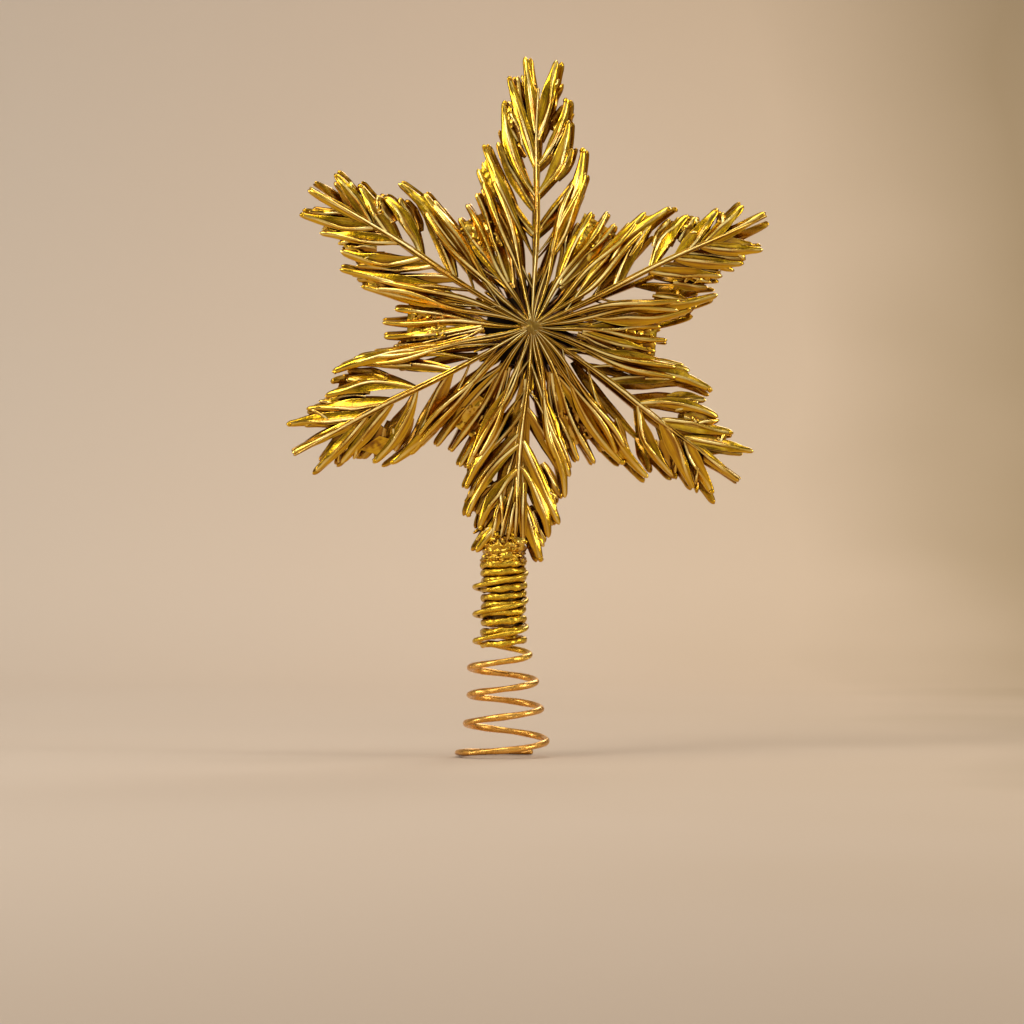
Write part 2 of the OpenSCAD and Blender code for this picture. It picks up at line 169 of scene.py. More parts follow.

# Kinds of blades; a pair is a range from which each blade draws its own value
# shade is painted shade on leaves and ribs that lie under others, and highlight scales the crest's painted
# highlight
MIDRIB = {"rise": 1.7, "ridge": 0.0, "roll": 0, "count": 44, "lift": 0.5, "sway": 0.9, "keel": 1.6,
          "crest": RIB_CREST_HALF, "fingered": 0}
END_LEAF = {"ridge": (-0.3, 0.3), "lift": 0.3, "blunt": 1.6}
STEM_COVER = {"lift": -1.3, "rise": 1.0, "shade": 0.3}
COLLAR_LEAF = {"lift": 1.6, "rise": 1.3, "fingered": 0.4}
LEAFLET = {"rise": (0.9, 1.4), "lift": (0.2, 0.9), "blunt": 1.9}
NEEDLE = {"rise": (0.7, 1.2), "lift": (-0.6, 0.4), "count": 14, "blunt": 1.7}
LOWER_LEAF = {"rise": (0.7, 1.1), "lift": (-1.3, -0.7), "count": 16, "shade": 0.3}
SHADED_RIB = {"rise": 0.8, "count": 14, "keel": 1.8, "sway": 0.6, "shade": 0.9, "highlight": 0, "dark_reach": 17.0}
LONG_RIB = {"rise": (1.6, 2.1), "ridge": (-0.4, 0.6), "lift": (0.5, 1.4), "count": 34, "thin_root": 0.8,
            "sway": (0.9, 2.1), "keel": 2.0, "roll": (-12, 12), "crest": RIB_CREST_HALF}
SPRAY_STALK = {"rise": 1.8, "ridge": (-0.3, 0.3), "roll": (-6, 6), "count": 32, "sway": 1.4, "keel": 1.8,
               "thin_root": 0.8, "crest": RIB_CREST_HALF}
SPRAY_LEAF = {"lift": (0, 0.6), "blunt": 1.7}
SPRAY_LOWER_LEAF = {"lift": (-1.4, -0.7), "rise": (0.8, 1.3), "sway": 0.5, "shade": 0.35, "blunt": 1.7}

# The collar and the wires in millimetres
SLEEVE_X = 0.6
SLEEVE_LOW = 52.4
SLEEVE_R = 5.3
WRAP_GAP = 0.1
WIRE_GAP = 0.3
COLLAR_IN_R = SLEEVE_R + WRAP_GAP
BAND_LOW = 79.2
BAND_H = 5.8
BAND_T = 3.8
# The torn lower edge of the tape hangs this far over the first wrap
BAND_SKIRT = 3.0
COIL_WIRE_D = 2.9
COIL_FOOT_R = 17.4
COIL_TOP_R = 11.4
COIL_PITCH = 10.8
COIL_SWAY = 1.4
COIL_TURNS = 7.2
COIL_START = 54
COIL_REACH_Y = 18.7
COIL_LOWEST = 0.22
COIL_RISE_SHARES = [(0, 0), (0.3, 0), (0.6, 0.16), (1.6, 1.42), (7.2, 7.02)]
COIL_FLARE_SHARES = [(0, 1), (0.8, 1), (1.6, 0.55), (2.6, 0.32), (3.6, 0.16), (4.6, 0.05), (5.6, 0)]
COIL_SWAY_SHARES = [(0, -0.4), (1.6, 1), (2.6, 0.5), (3.6, -0.3), (4.6, -0.7), (7.2, -0.6)]
# From this turn on, within this part of a turn, the coil closes in on the collar; it stands out on the left
HUG_START, HUG_RUN = 3.5, 0.9
HUG_R = 9.1
HUG_LEFT = 2.4
# Along the coil, in centimetres, its copper tone gives way to the collar's gold
COIL_TONE_CHANGE = (33.0, 38.0)
BIND_WIRE_D = 2.8
BIND_GAP = 0.45
BIND_TAIL = 7.5
BIND_TAIL_TURNS = 1.5
BIND_START = 200
WRAP_WIDEN = 0.85
# The last part of a turn lies level, so that the wire's end is at the back
WRAP_TUCK = 0.42
BIND_R = COLLAR_IN_R + BIND_WIRE_D / 2 + WRAP_WIDEN
BIND_PITCH = BIND_WIRE_D + BIND_GAP
BIND_LOW = SLEEVE_LOW - BIND_TAIL
BIND_HIGH = BAND_LOW - WIRE_GAP - BIND_WIRE_D / 2
BIND_TURNS = BIND_TAIL_TURNS + (BIND_HIGH - SLEEVE_LOW) / BIND_PITCH
STEPS_PER_TURN = 64

# The tone of the painted highlight along crest lines
CREST_HIGHLIGHT = (1.0, 0.8, 0.3)

# The stage in metres: a floor that sweeps up into a wall, whose paper carries painted shade that darkens it
# to the right
STAGE_FRONT, STAGE_BACK, STAGE_HALF, STAGE_TOP, STAGE_BEND = -2.6, 1.5, 2.4, 2.4, 0.7
# Where the floor fades for the camera: on both sides, and in front of the object
FADE_X = (0.62, 1.15)
FADE_Y = (-1.15, -1.7)
PAPER_AND_SHADE = [(0.0, (0.665, 0.553, 0.443)), (0.5, (0.663, 0.524, 0.397)), (0.75, (0.622, 0.482, 0.346)),
         (1.0, (0.39, 0.29, 0.175))]
# Painted shade along the sweep, by a place from 0 to 1 that stands for Y + Z from -0.4 to 2.6 m; lightest
# where the floor starts to bend up
SWEEP_SHADING_SPAN = (-0.4, 2.6)
SWEEP_SHADING = [(0.0, (0.84, 0.835, 0.83)), (0.23, (0.86, 0.855, 0.85)), (0.4, (0.96, 0.955, 0.95)),
          (0.51, (1, 1, 1)), (0.66, (0.95, 0.95, 0.95)),
          (0.75, (0.92, 0.92, 0.92)), (0.9, (0.86, 0.86, 0.86))]
# The photo's scale of 0.4 mm to a pixel over 1024 pixels, seen from 2 m
VIEW_WIDTH = 0.4096
VIEW_PLACE = (0.004, -2.0, 0.098)
SENSOR = 36
# Lamps: place, aim, size, power in watts and colour
WARM, SOFT = (1.0, 0.98, 0.95), (1.0, 0.98, 0.94)
LAMPS = {"key": ((-1.0, -1.0, 1.25), (0, 0, 0.16), (0.82, 0.82), 12.2, WARM),
         "right_strip": ((1.3, -0.45, 0.45), (0, 0, 0.16), (0.28, 1.1), 7.5, SOFT),
         "left_strip": ((-1.3, -0.15, 0.1), (0, 0, 0.14), (0.26, 0.9), 5, SOFT),
         "top_box": ((0.1, -0.1, 1.4), (0, 0, 0.16), (1.1, 0.62), 7.2, (1.0, 0.99, 0.97)),
         "back_box": ((0.5, 1.15, 0.95), (0, 0, 0.16), (0.6, 0.6), 5, WARM)}
# Soft bright and dark areas round the room, which the plating mirrors
ROOM = [(0.36, (0.08, 0.067, 0.054)), (0.48, (0.22, 0.19, 0.155)), (0.55, (0.44, 0.4, 0.35)),
        (0.635, (0.95, 0.93, 0.89))]


def smooth_table(shares, reach=12):
    """A table of shares as a function without kinks."""
    xs, ys = np.array(shares, float).T
    fine = np.linspace(xs[0], xs[-1], 300)
    weights = np.hanning(2 * reach + 1)
    values = np.pad(np.interp(fine, xs, ys), reach, mode="reflect", reflect_type="odd")
    values = np.convolve(values, weights / weights.sum(), mode="valid")
    return lambda x: np.interp(x, fine, values)


crest_at = smooth_table(CREST_SHARES)
valley_at = smooth_table(VALLEY_SHARES)


def arm_level(u, v):
    roof = np.sqrt(u * u + 1.0) - 1.0
    return np.maximum(EDGE_HEIGHT, CREST_HEIGHT * crest_at(v / ARM_REACH) - ROOF_SHARE * roof)


def notch_level(u, v):
    return np.maximum(EDGE_HEIGHT, CREST_HEIGHT * valley_at(np.hypot(u, v) / NOTCH_REACH))


def polar(r, degrees):
    return np.array([r * math.sin(math.radians(degrees)), r * math.cos(math.radians(degrees))])


# Smooth noise from a fixed lattice of random numbers, so that each run gives the same shapes
LATTICE_SIZE = 32
LATTICE = np.random.default_rng(11).uniform(-1, 1, (LATTICE_SIZE,) * 3)


def noise(points, size):
    q = np.asarray(points, float) / size
    cell = np.floor(q).astype(int)
    f = q - cell
    f = f * f * (3 - 2 * f)
    out = np.zeros(len(q))
    for corner in range(8):
        step = np.array([corner & 1, corner >> 1 & 1, corner >> 2 & 1])
        weight = np.prod(np.where(step, f, 1 - f), axis=1)
        index = (cell + step) % LATTICE_SIZE
        out += weight * LATTICE[index[:, 0], index[:, 1], index[:, 2]]
    return out


def layered(points, *layers):
    """Noise in layers of (amount, size, shift)."""
    return sum(amount * noise(points + shift, size) for amount, size, shift in layers)


def on_circle(a, r, z):
    """Points at the angles a, with radii and heights."""
    return np.stack([np.cos(a) * r, np.sin(a) * r, z], 2).reshape(-1, 3)


def around(a, radius, *layers):
    """Layered noise along a circle, for the angles a."""
    return layered(on_circle(a, radius, 0 * a), *layers).reshape(a.shape)


def crinkled(points, amount, size):
    """Points pushed about a little by smooth noise."""
    points = np.asarray(points, float)
    push = np.stack([noise(points + shift, size) for shift in (0, 13, 29)], 1)
    return points + amount * push


# Blades, beads and webs, drawn flat: u across an arm, v along it, w up from the star's middle plane
class Shells:
    """Closed shells on the star's surface, joined into one piece, each with its grain and its marks of
    painted highlight and painted shade.
    """

    def __init__(self, level, seed):
        self.parts = []
        self.level = level
        self.rng = np.random.default_rng(seed)

    def add(self, points, faces, grain, marks=None):
        marks = np.zeros((len(points), 2)) if marks is None else marks
        self.parts.append((points, faces, grain, marks))


def with_height(uv, w):
    """Rows of points from places on the star's drawing and heights."""
    return np.concatenate([uv, w[..., None]], 2).reshape(-1, 3)


def ring_faces(count, sides):
    faces = []
    for i in range(count - 1):
        for k in range(sides):
            a, b = i * sides + k, i * sides + (k + 1) % sides
            faces.append((a, b, b + sides, a + sides))
    faces.append(tuple(reversed(range(sides))))
    faces.append(tuple(range((count - 1) * sides, count * sides)))
    return faces


def section(half, ridge, rise, keel, shade, crest_half, finger):
    """Rings of a blade: round rims, dished faces and a thin round crest line, then the keel below.

    Towards its tip a blade turns into a round finger. Gives places across in millimetres, shares of
    the ring's height, and marks: a painted highlight on the crest line and rims, and painted shade in the
    creases.
    """
    half, finger = half[:, None], finger[:, None]
    crest = np.minimum(crest_half, 0.34 * half)
    rim = np.minimum(RIM_HALF, 0.22 * half)
    middle = ridge * (1 - finger) * (half - 1.2 * rim - crest * 1.5)
    across, high, marks = [], [], []

    def put(place, height, highlight, painted_shade, below=False):
        arch = height if below else RIM_FOOT + (rise + 0.26) * np.sqrt(np.clip(1 - (place / half) ** 2, 0, 1))
        across.append(place)
        high.append((1 - finger) * height + finger * arch)
        marks.append((highlight, max(painted_shade, shade)))

    def flank(side):
        """The rings of one side, from the rim to the crest line."""
        foot = side * np.maximum(half - 1.9 * rim, side * middle + 2.0 * crest)
        face = (side * (half - 2 * rim) + middle + side * crest) / 2 + side * 0.3 * crest
        # Each ring holds a place, a height, a painted highlight and painted shade: highlight on the rim and
        # crest, shade at the rim's edge, at the face's foot and beside the crest line
        return [(side * half, RIM_FOOT, 0, 0.3), (side * (half - 0.12 * rim), 0.06, 0.08, 0),
                (side * (half - 0.8 * rim), RIM_TOP, 0.08, 0), (foot, 0.05, 0, 0.3),
                (face, 0.1 + 0.16 * rise, 0, 0), (middle + side * 1.5 * crest, RIM_TOP + 0.46 * rise, 0, 0.7),
                (middle + side * 0.94 * crest, RIM_TOP + 0.74 * rise, 0.8, 0),
                (middle + side * 0.5 * crest, RIM_TOP + 0.95 * rise, 1, 0)]

    for ring in [*flank(-1), (middle, 0.14 + rise, 1, 0), *reversed(flank(1))]:
        put(*ring)
    # The keel below carries painted shade
    for place, depth in ((0.72, 0.7), (0.0, 1.0), (-0.72, 0.7)):
        put(half * place, KEEL_TOP - depth * keel, 0, 0.4, below=True)
    return np.concatenate(across, 1), np.concatenate(high, 1), np.array(marks)


def root_radius(turn):
    """How near the centre a rib starts: each at its own place, so that the boss has no plain edge."""
    return ROOT_R * (0.58 + 0.2 * math.sin(37.0 * turn))


def blade(shells, root, tip, bow, width, shares=LEAF_SHARES, rise=1.2, keel=1.1, ridge=None, roll=None,
          lift=0.0, count=20, thin_root=0.6, sway=0.0, blunt=1.3, shade=0.0, crest=CREST_HALF, highlight=1.0,
          fingered=1.0, dark_reach=None):
    """A blade from root to tip that follows the star's surface, with a thin crest line and a round tip.

    Its bow is a share of its length and its roll is in degrees; rise, keel, lift and sway are in millimetres.
    """
    rng = shells.rng
    root, tip = np.asarray(root, float), np.asarray(tip, float)
    run = tip - root
    length = np.hypot(*run)
    aside = np.array([run[1], -run[0]])
    if ridge is None:
        ridge = rng.choice([-1, 1]) * rng.uniform(0.8, 1) if rng.random() < 0.5 else rng.uniform(-0.35, 0.35)
    roll = rng.uniform(-24, 24) if roll is None else roll
    # Half widths along the blade, with uneven edges and a rounded tip
    width_at = smooth_table(list(zip(np.linspace(0, 1, len(shares)), shares)), 24)
    t = 1 - (1 - np.linspace(0, 1, count)) ** 1.4
    wave = rng.uniform(0, 6, 5)
    profile = width_at(t) * (1 + WAVER * np.sin(7 * t + wave[0]) + WAVER * 0.6 * np.sin(15 * t + wave[1]))
    half = width / 2 * profile
    cap_length = np.maximum(half[-4:].mean() * blunt, 0.5)
    cap = np.clip((1 - t) * length / cap_length, 0, 1)
    taper = np.sqrt(np.clip(1 - (1 - cap) ** 2, 0.02, 1))
    half = half * taper
    finger = fingered * np.clip((t - 0.48) / 0.34, 0, 1)
    s, h, marks = section(half, ridge, rise, keel, shade, crest, finger)
    # The middle line, and the places of each ring beside it
    wander = sway * np.sin(math.pi * t) * np.sin(5.5 * t + wave[4])
    p = root + np.outer(t, run) + np.outer(bow * 4 * t * (1 - t) + wander / length, aside)
    heading = np.gradient(p, axis=0)
    out = np.stack([heading[:, 1], -heading[:, 0]], 1) / np.hypot(heading[:, 0], heading[:, 1])[:, None]
    uv = p[:, None, :] + out[:, None, :] * s[:, :, None]
    # Heights: the star's surface, the section, the roll and a hump along the blade
    size = (thin_root + (1 - thin_root) * np.clip(t * 3, 0, 1)) * np.clip(profile, 0.45, 1) * taper
    size = size * (1 + 0.35 * finger)
    tilt = math.tan(math.radians(roll)) * np.sin(math.pi * np.clip(t * 1.1, 0, 1)) ** 0.7
    hump = lift * np.sin(math.pi * np.clip(t * 0.92 + 0.04, 0, 1)) ** 0.8
    hump = hump + 0.22 * np.sin(5 * t + wave[2]) * np.clip(t * 2, 0, 1)
    base = shells.level(uv[..., 0], uv[..., 1])
    w = base + size[:, None] * h + tilt[:, None] * s + hump[:, None]
    away = np.hypot(uv[..., 0], uv[..., 1])
    if np.hypot(*root) < ROOT_R:
        fading = np.exp(-np.maximum(away - ROOT_R * 0.8, 0) / CLIMB_FADE)
        w = w + ROOT_CLIMB * fading * np.clip(away / CLIMB_START, 0, 1)
    w = np.maximum(w, LOWEST)
    points = with_height(uv, w)
    # Marks: the painted highlight on the crest is stronger in places, and creases carry painted shade
    along = np.broadcast_to(t[:, None] * length, w.shape)
    painted_highlight = np.clip(0.6 + 0.55 * np.sin(9 * t + wave[3]), 0.3, 1) * (1 - 0.7 * shade) * highlight
    painted_highlight = painted_highlight * (1 - 0.45 * finger)
    crease_shading = np.maximum(marks[None, :, 1] * (1 - 0.8 * finger[:, None]), shade)
    # The painted shade fades out beyond dark_reach from the centre
    if dark_reach is not None:
        crease_shading = crease_shading * np.clip(1 - (away - dark_reach) / 3, 0, 1)
    mark = np.stack([marks[None, :, 0] * painted_highlight[:, None], crease_shading], 2).reshape(-1, 2)
    shells.add(points, ring_faces(count, s.shape[1]), np.stack([s, along], 2).reshape(-1, 2), mark)


def drawn(kind, rng):
    """A kind of blade whose ranges are turned into values of its own."""
    return {key: rng.uniform(*value) if isinstance(value, tuple) else value for key, value in kind.items()}


def bead(shells, centre, radius, amount=0.25):
    """A small rough bead of moulding flash."""
    rows, columns = 7, 10
    angles = np.linspace(0, math.pi, rows + 2)[1:-1]
    turn = np.arange(columns) * 2 * math.pi / columns
    a, b = np.meshgrid(angles, turn, indexing="ij")
    d = np.stack([np.sin(a) * np.cos(b), np.sin(a) * np.sin(b), np.cos(a)], 2).reshape(-1, 3)
    d = np.concatenate([[[0, 0, 1]], d, [[0, 0, -1]]])
    shift = shells.rng.uniform(0, 30, 3)
    r = radius * (1 + amount * noise(d * 1.3 + shift, 0.9))
    points = np.asarray(centre, float) + d * r[:, None]
    last = len(points) - 1
    faces = []
    for k in range(columns):
        m = (k + 1) % columns
        faces.append((0, 1 + k, 1 + m))
        for i in range(1, 1 + (rows - 1) * columns, columns):
            faces.append((i + k, i + columns + k, i + columns + m, i + m))
        faces.append((last, last - columns + m, last - columns + k))
    shells.add(points, faces, d[:, :2] * radius)


def patch(shells, corners, rough, thick=1.0, drop=0.35):
    """A web over four corners of the star's surface, smooth or crumbled."""
    nu, nv = 16, 22
    c = np.asarray(corners, float)
    a, b = np.meshgrid(np.linspace(0, 1, nu), np.linspace(0, 1, nv), indexing="ij")
    uv = ((1 - a) * (1 - b))[..., None] * c[0] + ((1 - a) * b)[..., None] * c[1]
    uv = uv + (a * b)[..., None] * c[2] + (a * (1 - b))[..., None] * c[3]
    flat = with_height(uv, 0 * a) + shells.rng.uniform(0, 30, 3)
    lump = noise(flat, 1.5) + 0.6 * noise(flat + 9, 0.8)
    lump = np.sign(lump) * np.abs(lump) ** 0.7
    rim = (1 - (2 * a - 1) ** 8) * (1 - (2 * b - 1) ** 8)
    push = np.stack([noise(flat + 3, 1.2), noise(flat + 5, 1.2)], 1).reshape(nu, nv, 2) * rough * 0.5
    uv = uv + push * rim[..., None]
    base = shells.level(uv[..., 0], uv[..., 1]) - drop
    top = base + thick / 2 + (rough * lump.reshape(nu, nv) + rough * 0.3) * rim
    low = base - thick / 2 + rough * 0.4 * noise(flat + 17, 1.6).reshape(nu, nv)
    points = np.concatenate([with_height(uv, np.maximum(top, low + 0.3)), with_height(uv, low)])
    # Faces above and below, then round the rim
    n = nu * nv
    grid = np.arange(n).reshape(nu, nv)
    faces = []
    for k in grid[:-1, :-1].ravel().tolist():
        faces.append((k, k + nv, k + nv + 1, k + 1))
        faces.append((n + k, n + k + 1, n + k + nv + 1, n + k + nv))
    edge = np.concatenate([grid[:, 0], grid[-1, 1:], grid[-2::-1, -1], grid[0, -2:0:-1]]).tolist()
    faces += [(k, n + k, n + m, m) for k, m in zip(edge, edge[1:] + edge[:1])]
    # Marks: painted highlight on the tops of the lumps, and painted shade in the dips between them
    marks = np.column_stack([np.clip(lump * 0.5, 0, 0.7) * rough, np.clip(-lump * 0.7, 0, 0.8)])
    shells.add(points, faces, np.concatenate([uv.reshape(-1, 2)] * 2), np.concatenate([marks, marks]))


def root_pad(shells, half_angle):
    outer = [polar(POST_R, half_angle * k / 4) for k in range(-4, 5)]
    inner = [polar(PAD_IN_R, -half_angle * k / 4) for k in range(-4, 5)]
    flat = np.array(outer + inner)
    n = len(flat)
    points = np.concatenate([
        np.column_stack([flat, np.full(n, SEAT_LEVEL)]),
        np.column_stack([flat, np.full(n, SEAT_LEVEL + PAD_T * 0.8)])])
    faces = [tuple(range(n)), tuple(range(2 * n - 1, n - 1, -1))]
    faces += [(k, n + k, n + (k + 1) % n, (k + 1) % n) for k in range(n)]
    shells.add(points, faces, np.concatenate([flat, flat]))


def collar_cover(shells):
    """Leaves of the bottom arm that hide the stem and run down into the crumbled tape of the collar."""
    rng = shells.rng
    for angle in (-1.6, STEM_ANGLE, 5.6):
        blade(shells, polar(21, STEM_ANGLE), polar(rng.uniform(82, 87), angle), 0, LEAFLET_W, **STEM_COVER)
    for start, stop, wide in COLLAR_LEAVES:
        blade(shells, start, stop, rng.uniform(-0.03, 0.03), wide, **COLLAR_LEAF)
    low, high, left, right = COLLAR_FLASH
    patch(shells, [(right, high), (right, low), (left, low), (left, high)], rough=0.7, thick=2.6, drop=-0.3)
    for _ in range(COLLAR_BEADS):
        u, v = rng.uniform(left - 0.5, right + 0.5), rng.uniform(low - 1.5, high + 0.3)
        bead(shells, (u, v, arm_level(u, v) + rng.uniform(0.6, 2.2)), rng.uniform(0.5, 1.05), amount=0.6)


def leaflets(shells, mirror, joints, places, holes):
    """Five leaflets from the midrib on one side, each with side needles, and some with a bead at the tip."""
    rng = shells.rng
    flip = np.array([mirror, 1.0])
    for k in range(5):
        root, tip = np.array([0, joints[k] * LEAF_START_SHARES[k]]), places[k] * flip
        open_below, open_above = k in holes, k + 1 in holes
        inner = k > 2
        shares = INNER_LEAF_SHARES if inner else OPEN_LEAF_SHARES if open_below else LEAF_SHARES
        bow = 0.085 if open_below else 0.0 if open_above else rng.uniform(0.0, 0.04)
        width = LEAFLET_W * rng.uniform(0.92, 1.1)
        blade(shells, root, tip, bow * mirror, width, shares, **drawn(LEAFLET, rng),
              count=25 if inner else 20, thin_root=0.9 if inner else 0.6)
        needles = [(rng.uniform(0.86, 0.95), rng.uniform(0.8, 2.4))]
        if not open_below and rng.random() < 0.6:
            needles.append((rng.uniform(0.8, 0.92), -rng.uniform(1.2, 2.2)))
        for reach, offset in needles:
            start = root + (tip - root) * rng.uniform(0.42, 0.58)
            stop = tip * reach + flip * np.array([offset, 0])
            width = LEAFLET_W * rng.uniform(0.45, 0.65)
            blade(shells, start, stop, 0.02 * mirror, width, **drawn(NEEDLE, rng))
        if rng.random() < 0.4:
            u, v = tip - (tip - root) / np.hypot(*(tip - root)) * 1.2
            bead(shells, (u, v, arm_level(u, v) + 0.4), rng.uniform(0.8, 1.25))


def lower_leaves(shells, mirror, joints, places, holes, end):
    """Leaves on one side that show between the upper ones, darkened with painted shade."""
    rng = shells.rng
    outer = np.concatenate([[joints[0] + 0.1 * ARM_REACH], joints])
    ends = np.concatenate([[(places[0] + [0, end]) / 2], places])
    for k in range(5):
        start = np.array([mirror * 0.4, (outer[k] + outer[k + 1]) / 2])
        stop = (ends[k] + ends[k + 1]) / 2 * rng.uniform(0.9, 0.97) * np.array([mirror, 1.0])
        if k in holes:
            start = start + (stop - start) * 0.5
        blade(shells, start, stop, rng.uniform(0, 0.04) * mirror, LEAFLET_W * rng.uniform(0.85, 1.1),
              **drawn(LOWER_LEAF, rng))


def ribs(shells, i, layer, mirror, places, holes):
    """Lower ribs darkened with painted shade, fewer on the core's left, and two long ribs that climb onto the
    button.
    """
    rng = shells.rng
    flip = np.array([mirror, 1.0])
    reaches = (rng.uniform(30, 40), rng.uniform(33, 42), rng.uniform(30, 38))
    for angle, reach in zip(LOWER_RIB_ANGLES, reaches):
        start, stop = polar(5.0, angle) * flip, polar(reach * 0.66, angle * 0.96) * flip
        bare = layer == 0 and angle > BARE.get((i, mirror), 90)
        in_gap = angle < 6 and 4 in holes
        if not in_gap and not bare:
            width = RIB_W * rng.uniform(0.7, 0.9)
            blade(shells, start, stop, 0, width, lift=-rng.uniform(1.8, 2.6), **SHADED_RIB)
    for k in range(2):
        angle = RIB_ANGLES[layer][k]
        start = polar(root_radius(ARM_ANGLES[i] + mirror * angle), angle) * flip
        stop = places[k + 3] * RIB_STOP_SHARES[k] * flip
        kind = drawn(LONG_RIB, rng)
        kind["ridge"] *= mirror
        blade(shells, start, stop, -0.03 * mirror, RIB_W, LONG_RIB_SHARES, **kind)


def webs(shells, side, places):
    """Sheets of flash between the inner leaves, and between some of the outer ones."""
    rng = shells.rng
    mirror = side[1]
    a, b, c, d = places[1:] * np.array([mirror, 1.0])
    if side in SHEETS:
        patch(shells, [c * 0.93, c * 0.6, d * 0.62, d * 0.97][::-mirror], rough=0.1, drop=-0.35)
    else:
        patch(shells, [c * 0.93, c * 0.72, d * 0.8, d * 0.97][::-mirror], rough=rng.choice([0.12, 0.55]))
    if rng.random() < 0.6 or side in OUTER_SHEETS:
        corners = [a * 0.9, a * 0.8, b * 0.84, b * 0.95]
        patch(shells, corners[::-mirror], rough=rng.choice([0.1, 0.4]), drop=0.2)


def frond(i, layer):
    shells = Shells(arm_level, 100 + 10 * i + layer)
    rng = shells.rng
    root_pad(shells, FROND_PAD_ANGLE)
    end = END_SHARES[i] * ARM_REACH
    blade(shells, (0, root_radius(ARM_ANGLES[i])), (0, end), 0, MIDRIB_W * 0.8, MIDRIB_SHARES, **MIDRIB)
    # The end of the midrib is a leaf of its own, a little to one side in each layer
    lean = (-1) ** (i + layer) * rng.uniform(0.6, 1.5)
    if end > 0.95 * ARM_REACH:
        blade(shells, (0, end * 0.74), (lean, end), 0.01, LEAFLET_W * 0.82, LEAF_END_SHARES,
              **drawn(END_LEAF, rng))
    if ARM_NAMES[i] == "bottom":
        collar_cover(shells)
    right = layer * REAR_EXCHANGE[i]
    joints = np.array(JOINT_SHARES) * JOINT_SCALE_SHARES[i] * ARM_REACH
    for mirror, tips, holes in (
            (1, TIP_SHARES[i][right], HOLES[i][0]), (-1, TIP_SHARES[i][1 - right], HOLES[i][1])):
        places = np.array(tips) * ARM_REACH
        leaflets(shells, mirror, joints, places, holes)
        lower_leaves(shells, mirror, joints, places, holes, end)
        ribs(shells, i, layer, mirror, places, holes)
        webs(shells, (i, mirror), places)
    for start, stop, wide in REAR_FILL.get(i, []) if layer == 1 else []:
        blade(shells, start, stop, 0.02 * np.sign(stop[0]), wide, lift=0.2)
    return shells


def spray(i, layer):
    shells = Shells(notch_level, 300 + 10 * i + layer)
    rng = shells.rng
    reach = np.array(SPRAY_REACH_SHARES[i]) * NOTCH_REACH
    root_pad(shells, SPRAY_PAD_ANGLE)
    blade(shells, (0, root_radius(ARM_ANGLES[i] + 30)), (0, reach[1]), 0, SPRAY_W, STALK_SHARES,
          **drawn(SPRAY_STALK, rng))
    for side in (-1, 1):
        root, tip = polar(FORK_SHARE * NOTCH_REACH, side * 1.2), polar(reach[side + 1], side * SPRAY_SPREAD)
        blade(shells, root, tip, side * 0.03, SPRAY_W * 1.2, **drawn(SPRAY_LEAF, rng))
        # Lower leaves that fill the notch up to the arms, darkened with painted shade
        for angle, share in ((9.6, 0.93), (12.5, 0.84)):
            start = polar(rng.uniform(17, 22), side * 3.6)
            far = reach[side + 1] * share * rng.uniform(0.94, 1.02)
            stop = polar(far, side * angle * rng.uniform(0.95, 1.05))
            width = SPRAY_W * rng.uniform(0.85, 1.1)
            blade(shells, start, stop, side * 0.02, width, **drawn(SPRAY_LOWER_LEAF, rng))
    corners = ((1.5, 0.9), (1.5, 0.62), (-1.5, 0.62), (-1.5, 0.9))
    corners = [polar(NOTCH_REACH * share, SPRAY_SPREAD * spread) for spread, share in corners]
    patch(shells, corners, rough=0.6, thick=1.4)
    for _ in range(SPRAY_BEADS):
        spot = polar(NOTCH_REACH * rng.uniform(0.62, 0.885), SPRAY_SPREAD * rng.uniform(-1.4, 1.4))
        bead(shells, (*spot, notch_level(*spot) + rng.uniform(0.1, 0.9)), rng.uniform(0.4, 0.85), amount=0.5)
    return shells


# Turned pieces made uneven: each function takes angles, radii and heights, and gives radii and heights
def melted(a, r, z):
    """An uneven low boss: neither round nor flat."""
    flat = on_circle(a, r, 0 * r)
    edge = np.clip((r - 1.2) / 2.4, 0, 1)
    r = r * (1 + edge * around(a, 4, (0.16, 2.2, 0), (0.1, 0.9, 7)))
    top = z > SEAT_LEVEL + 0.8
    return r, z + np.where(top, layered(flat, (0.42, 2.0, 3), (0.26, 0.9, 0)).reshape(r.shape), 0)


def wobbly(a, r, z):
    """The core's rim, wider on the left, where its near-black shows between the ribs as painted shade."""
    reach = 13.2 + 5.6 * np.clip(-np.cos(a - 0.35), -0.3, 1) + around(a, 9, (1.0, 4.0, 0), (0.6, 1.6, 5))
    far = np.clip((r - POST_FOOT_R) / (CORE_R - POST_FOOT_R), 0, None)
    r = np.where(far > 0, POST_FOOT_R + (reach - POST_FOOT_R) * far, r)
    flat = on_circle(a, r, z)
    lump = layered(flat, (0.6, 2.4, 0), (0.35, 1.1, 9)).reshape(r.shape)
    return r + lump * (far > 0.9) * 0.5, z + np.sign(z) * lump * (far > 0)


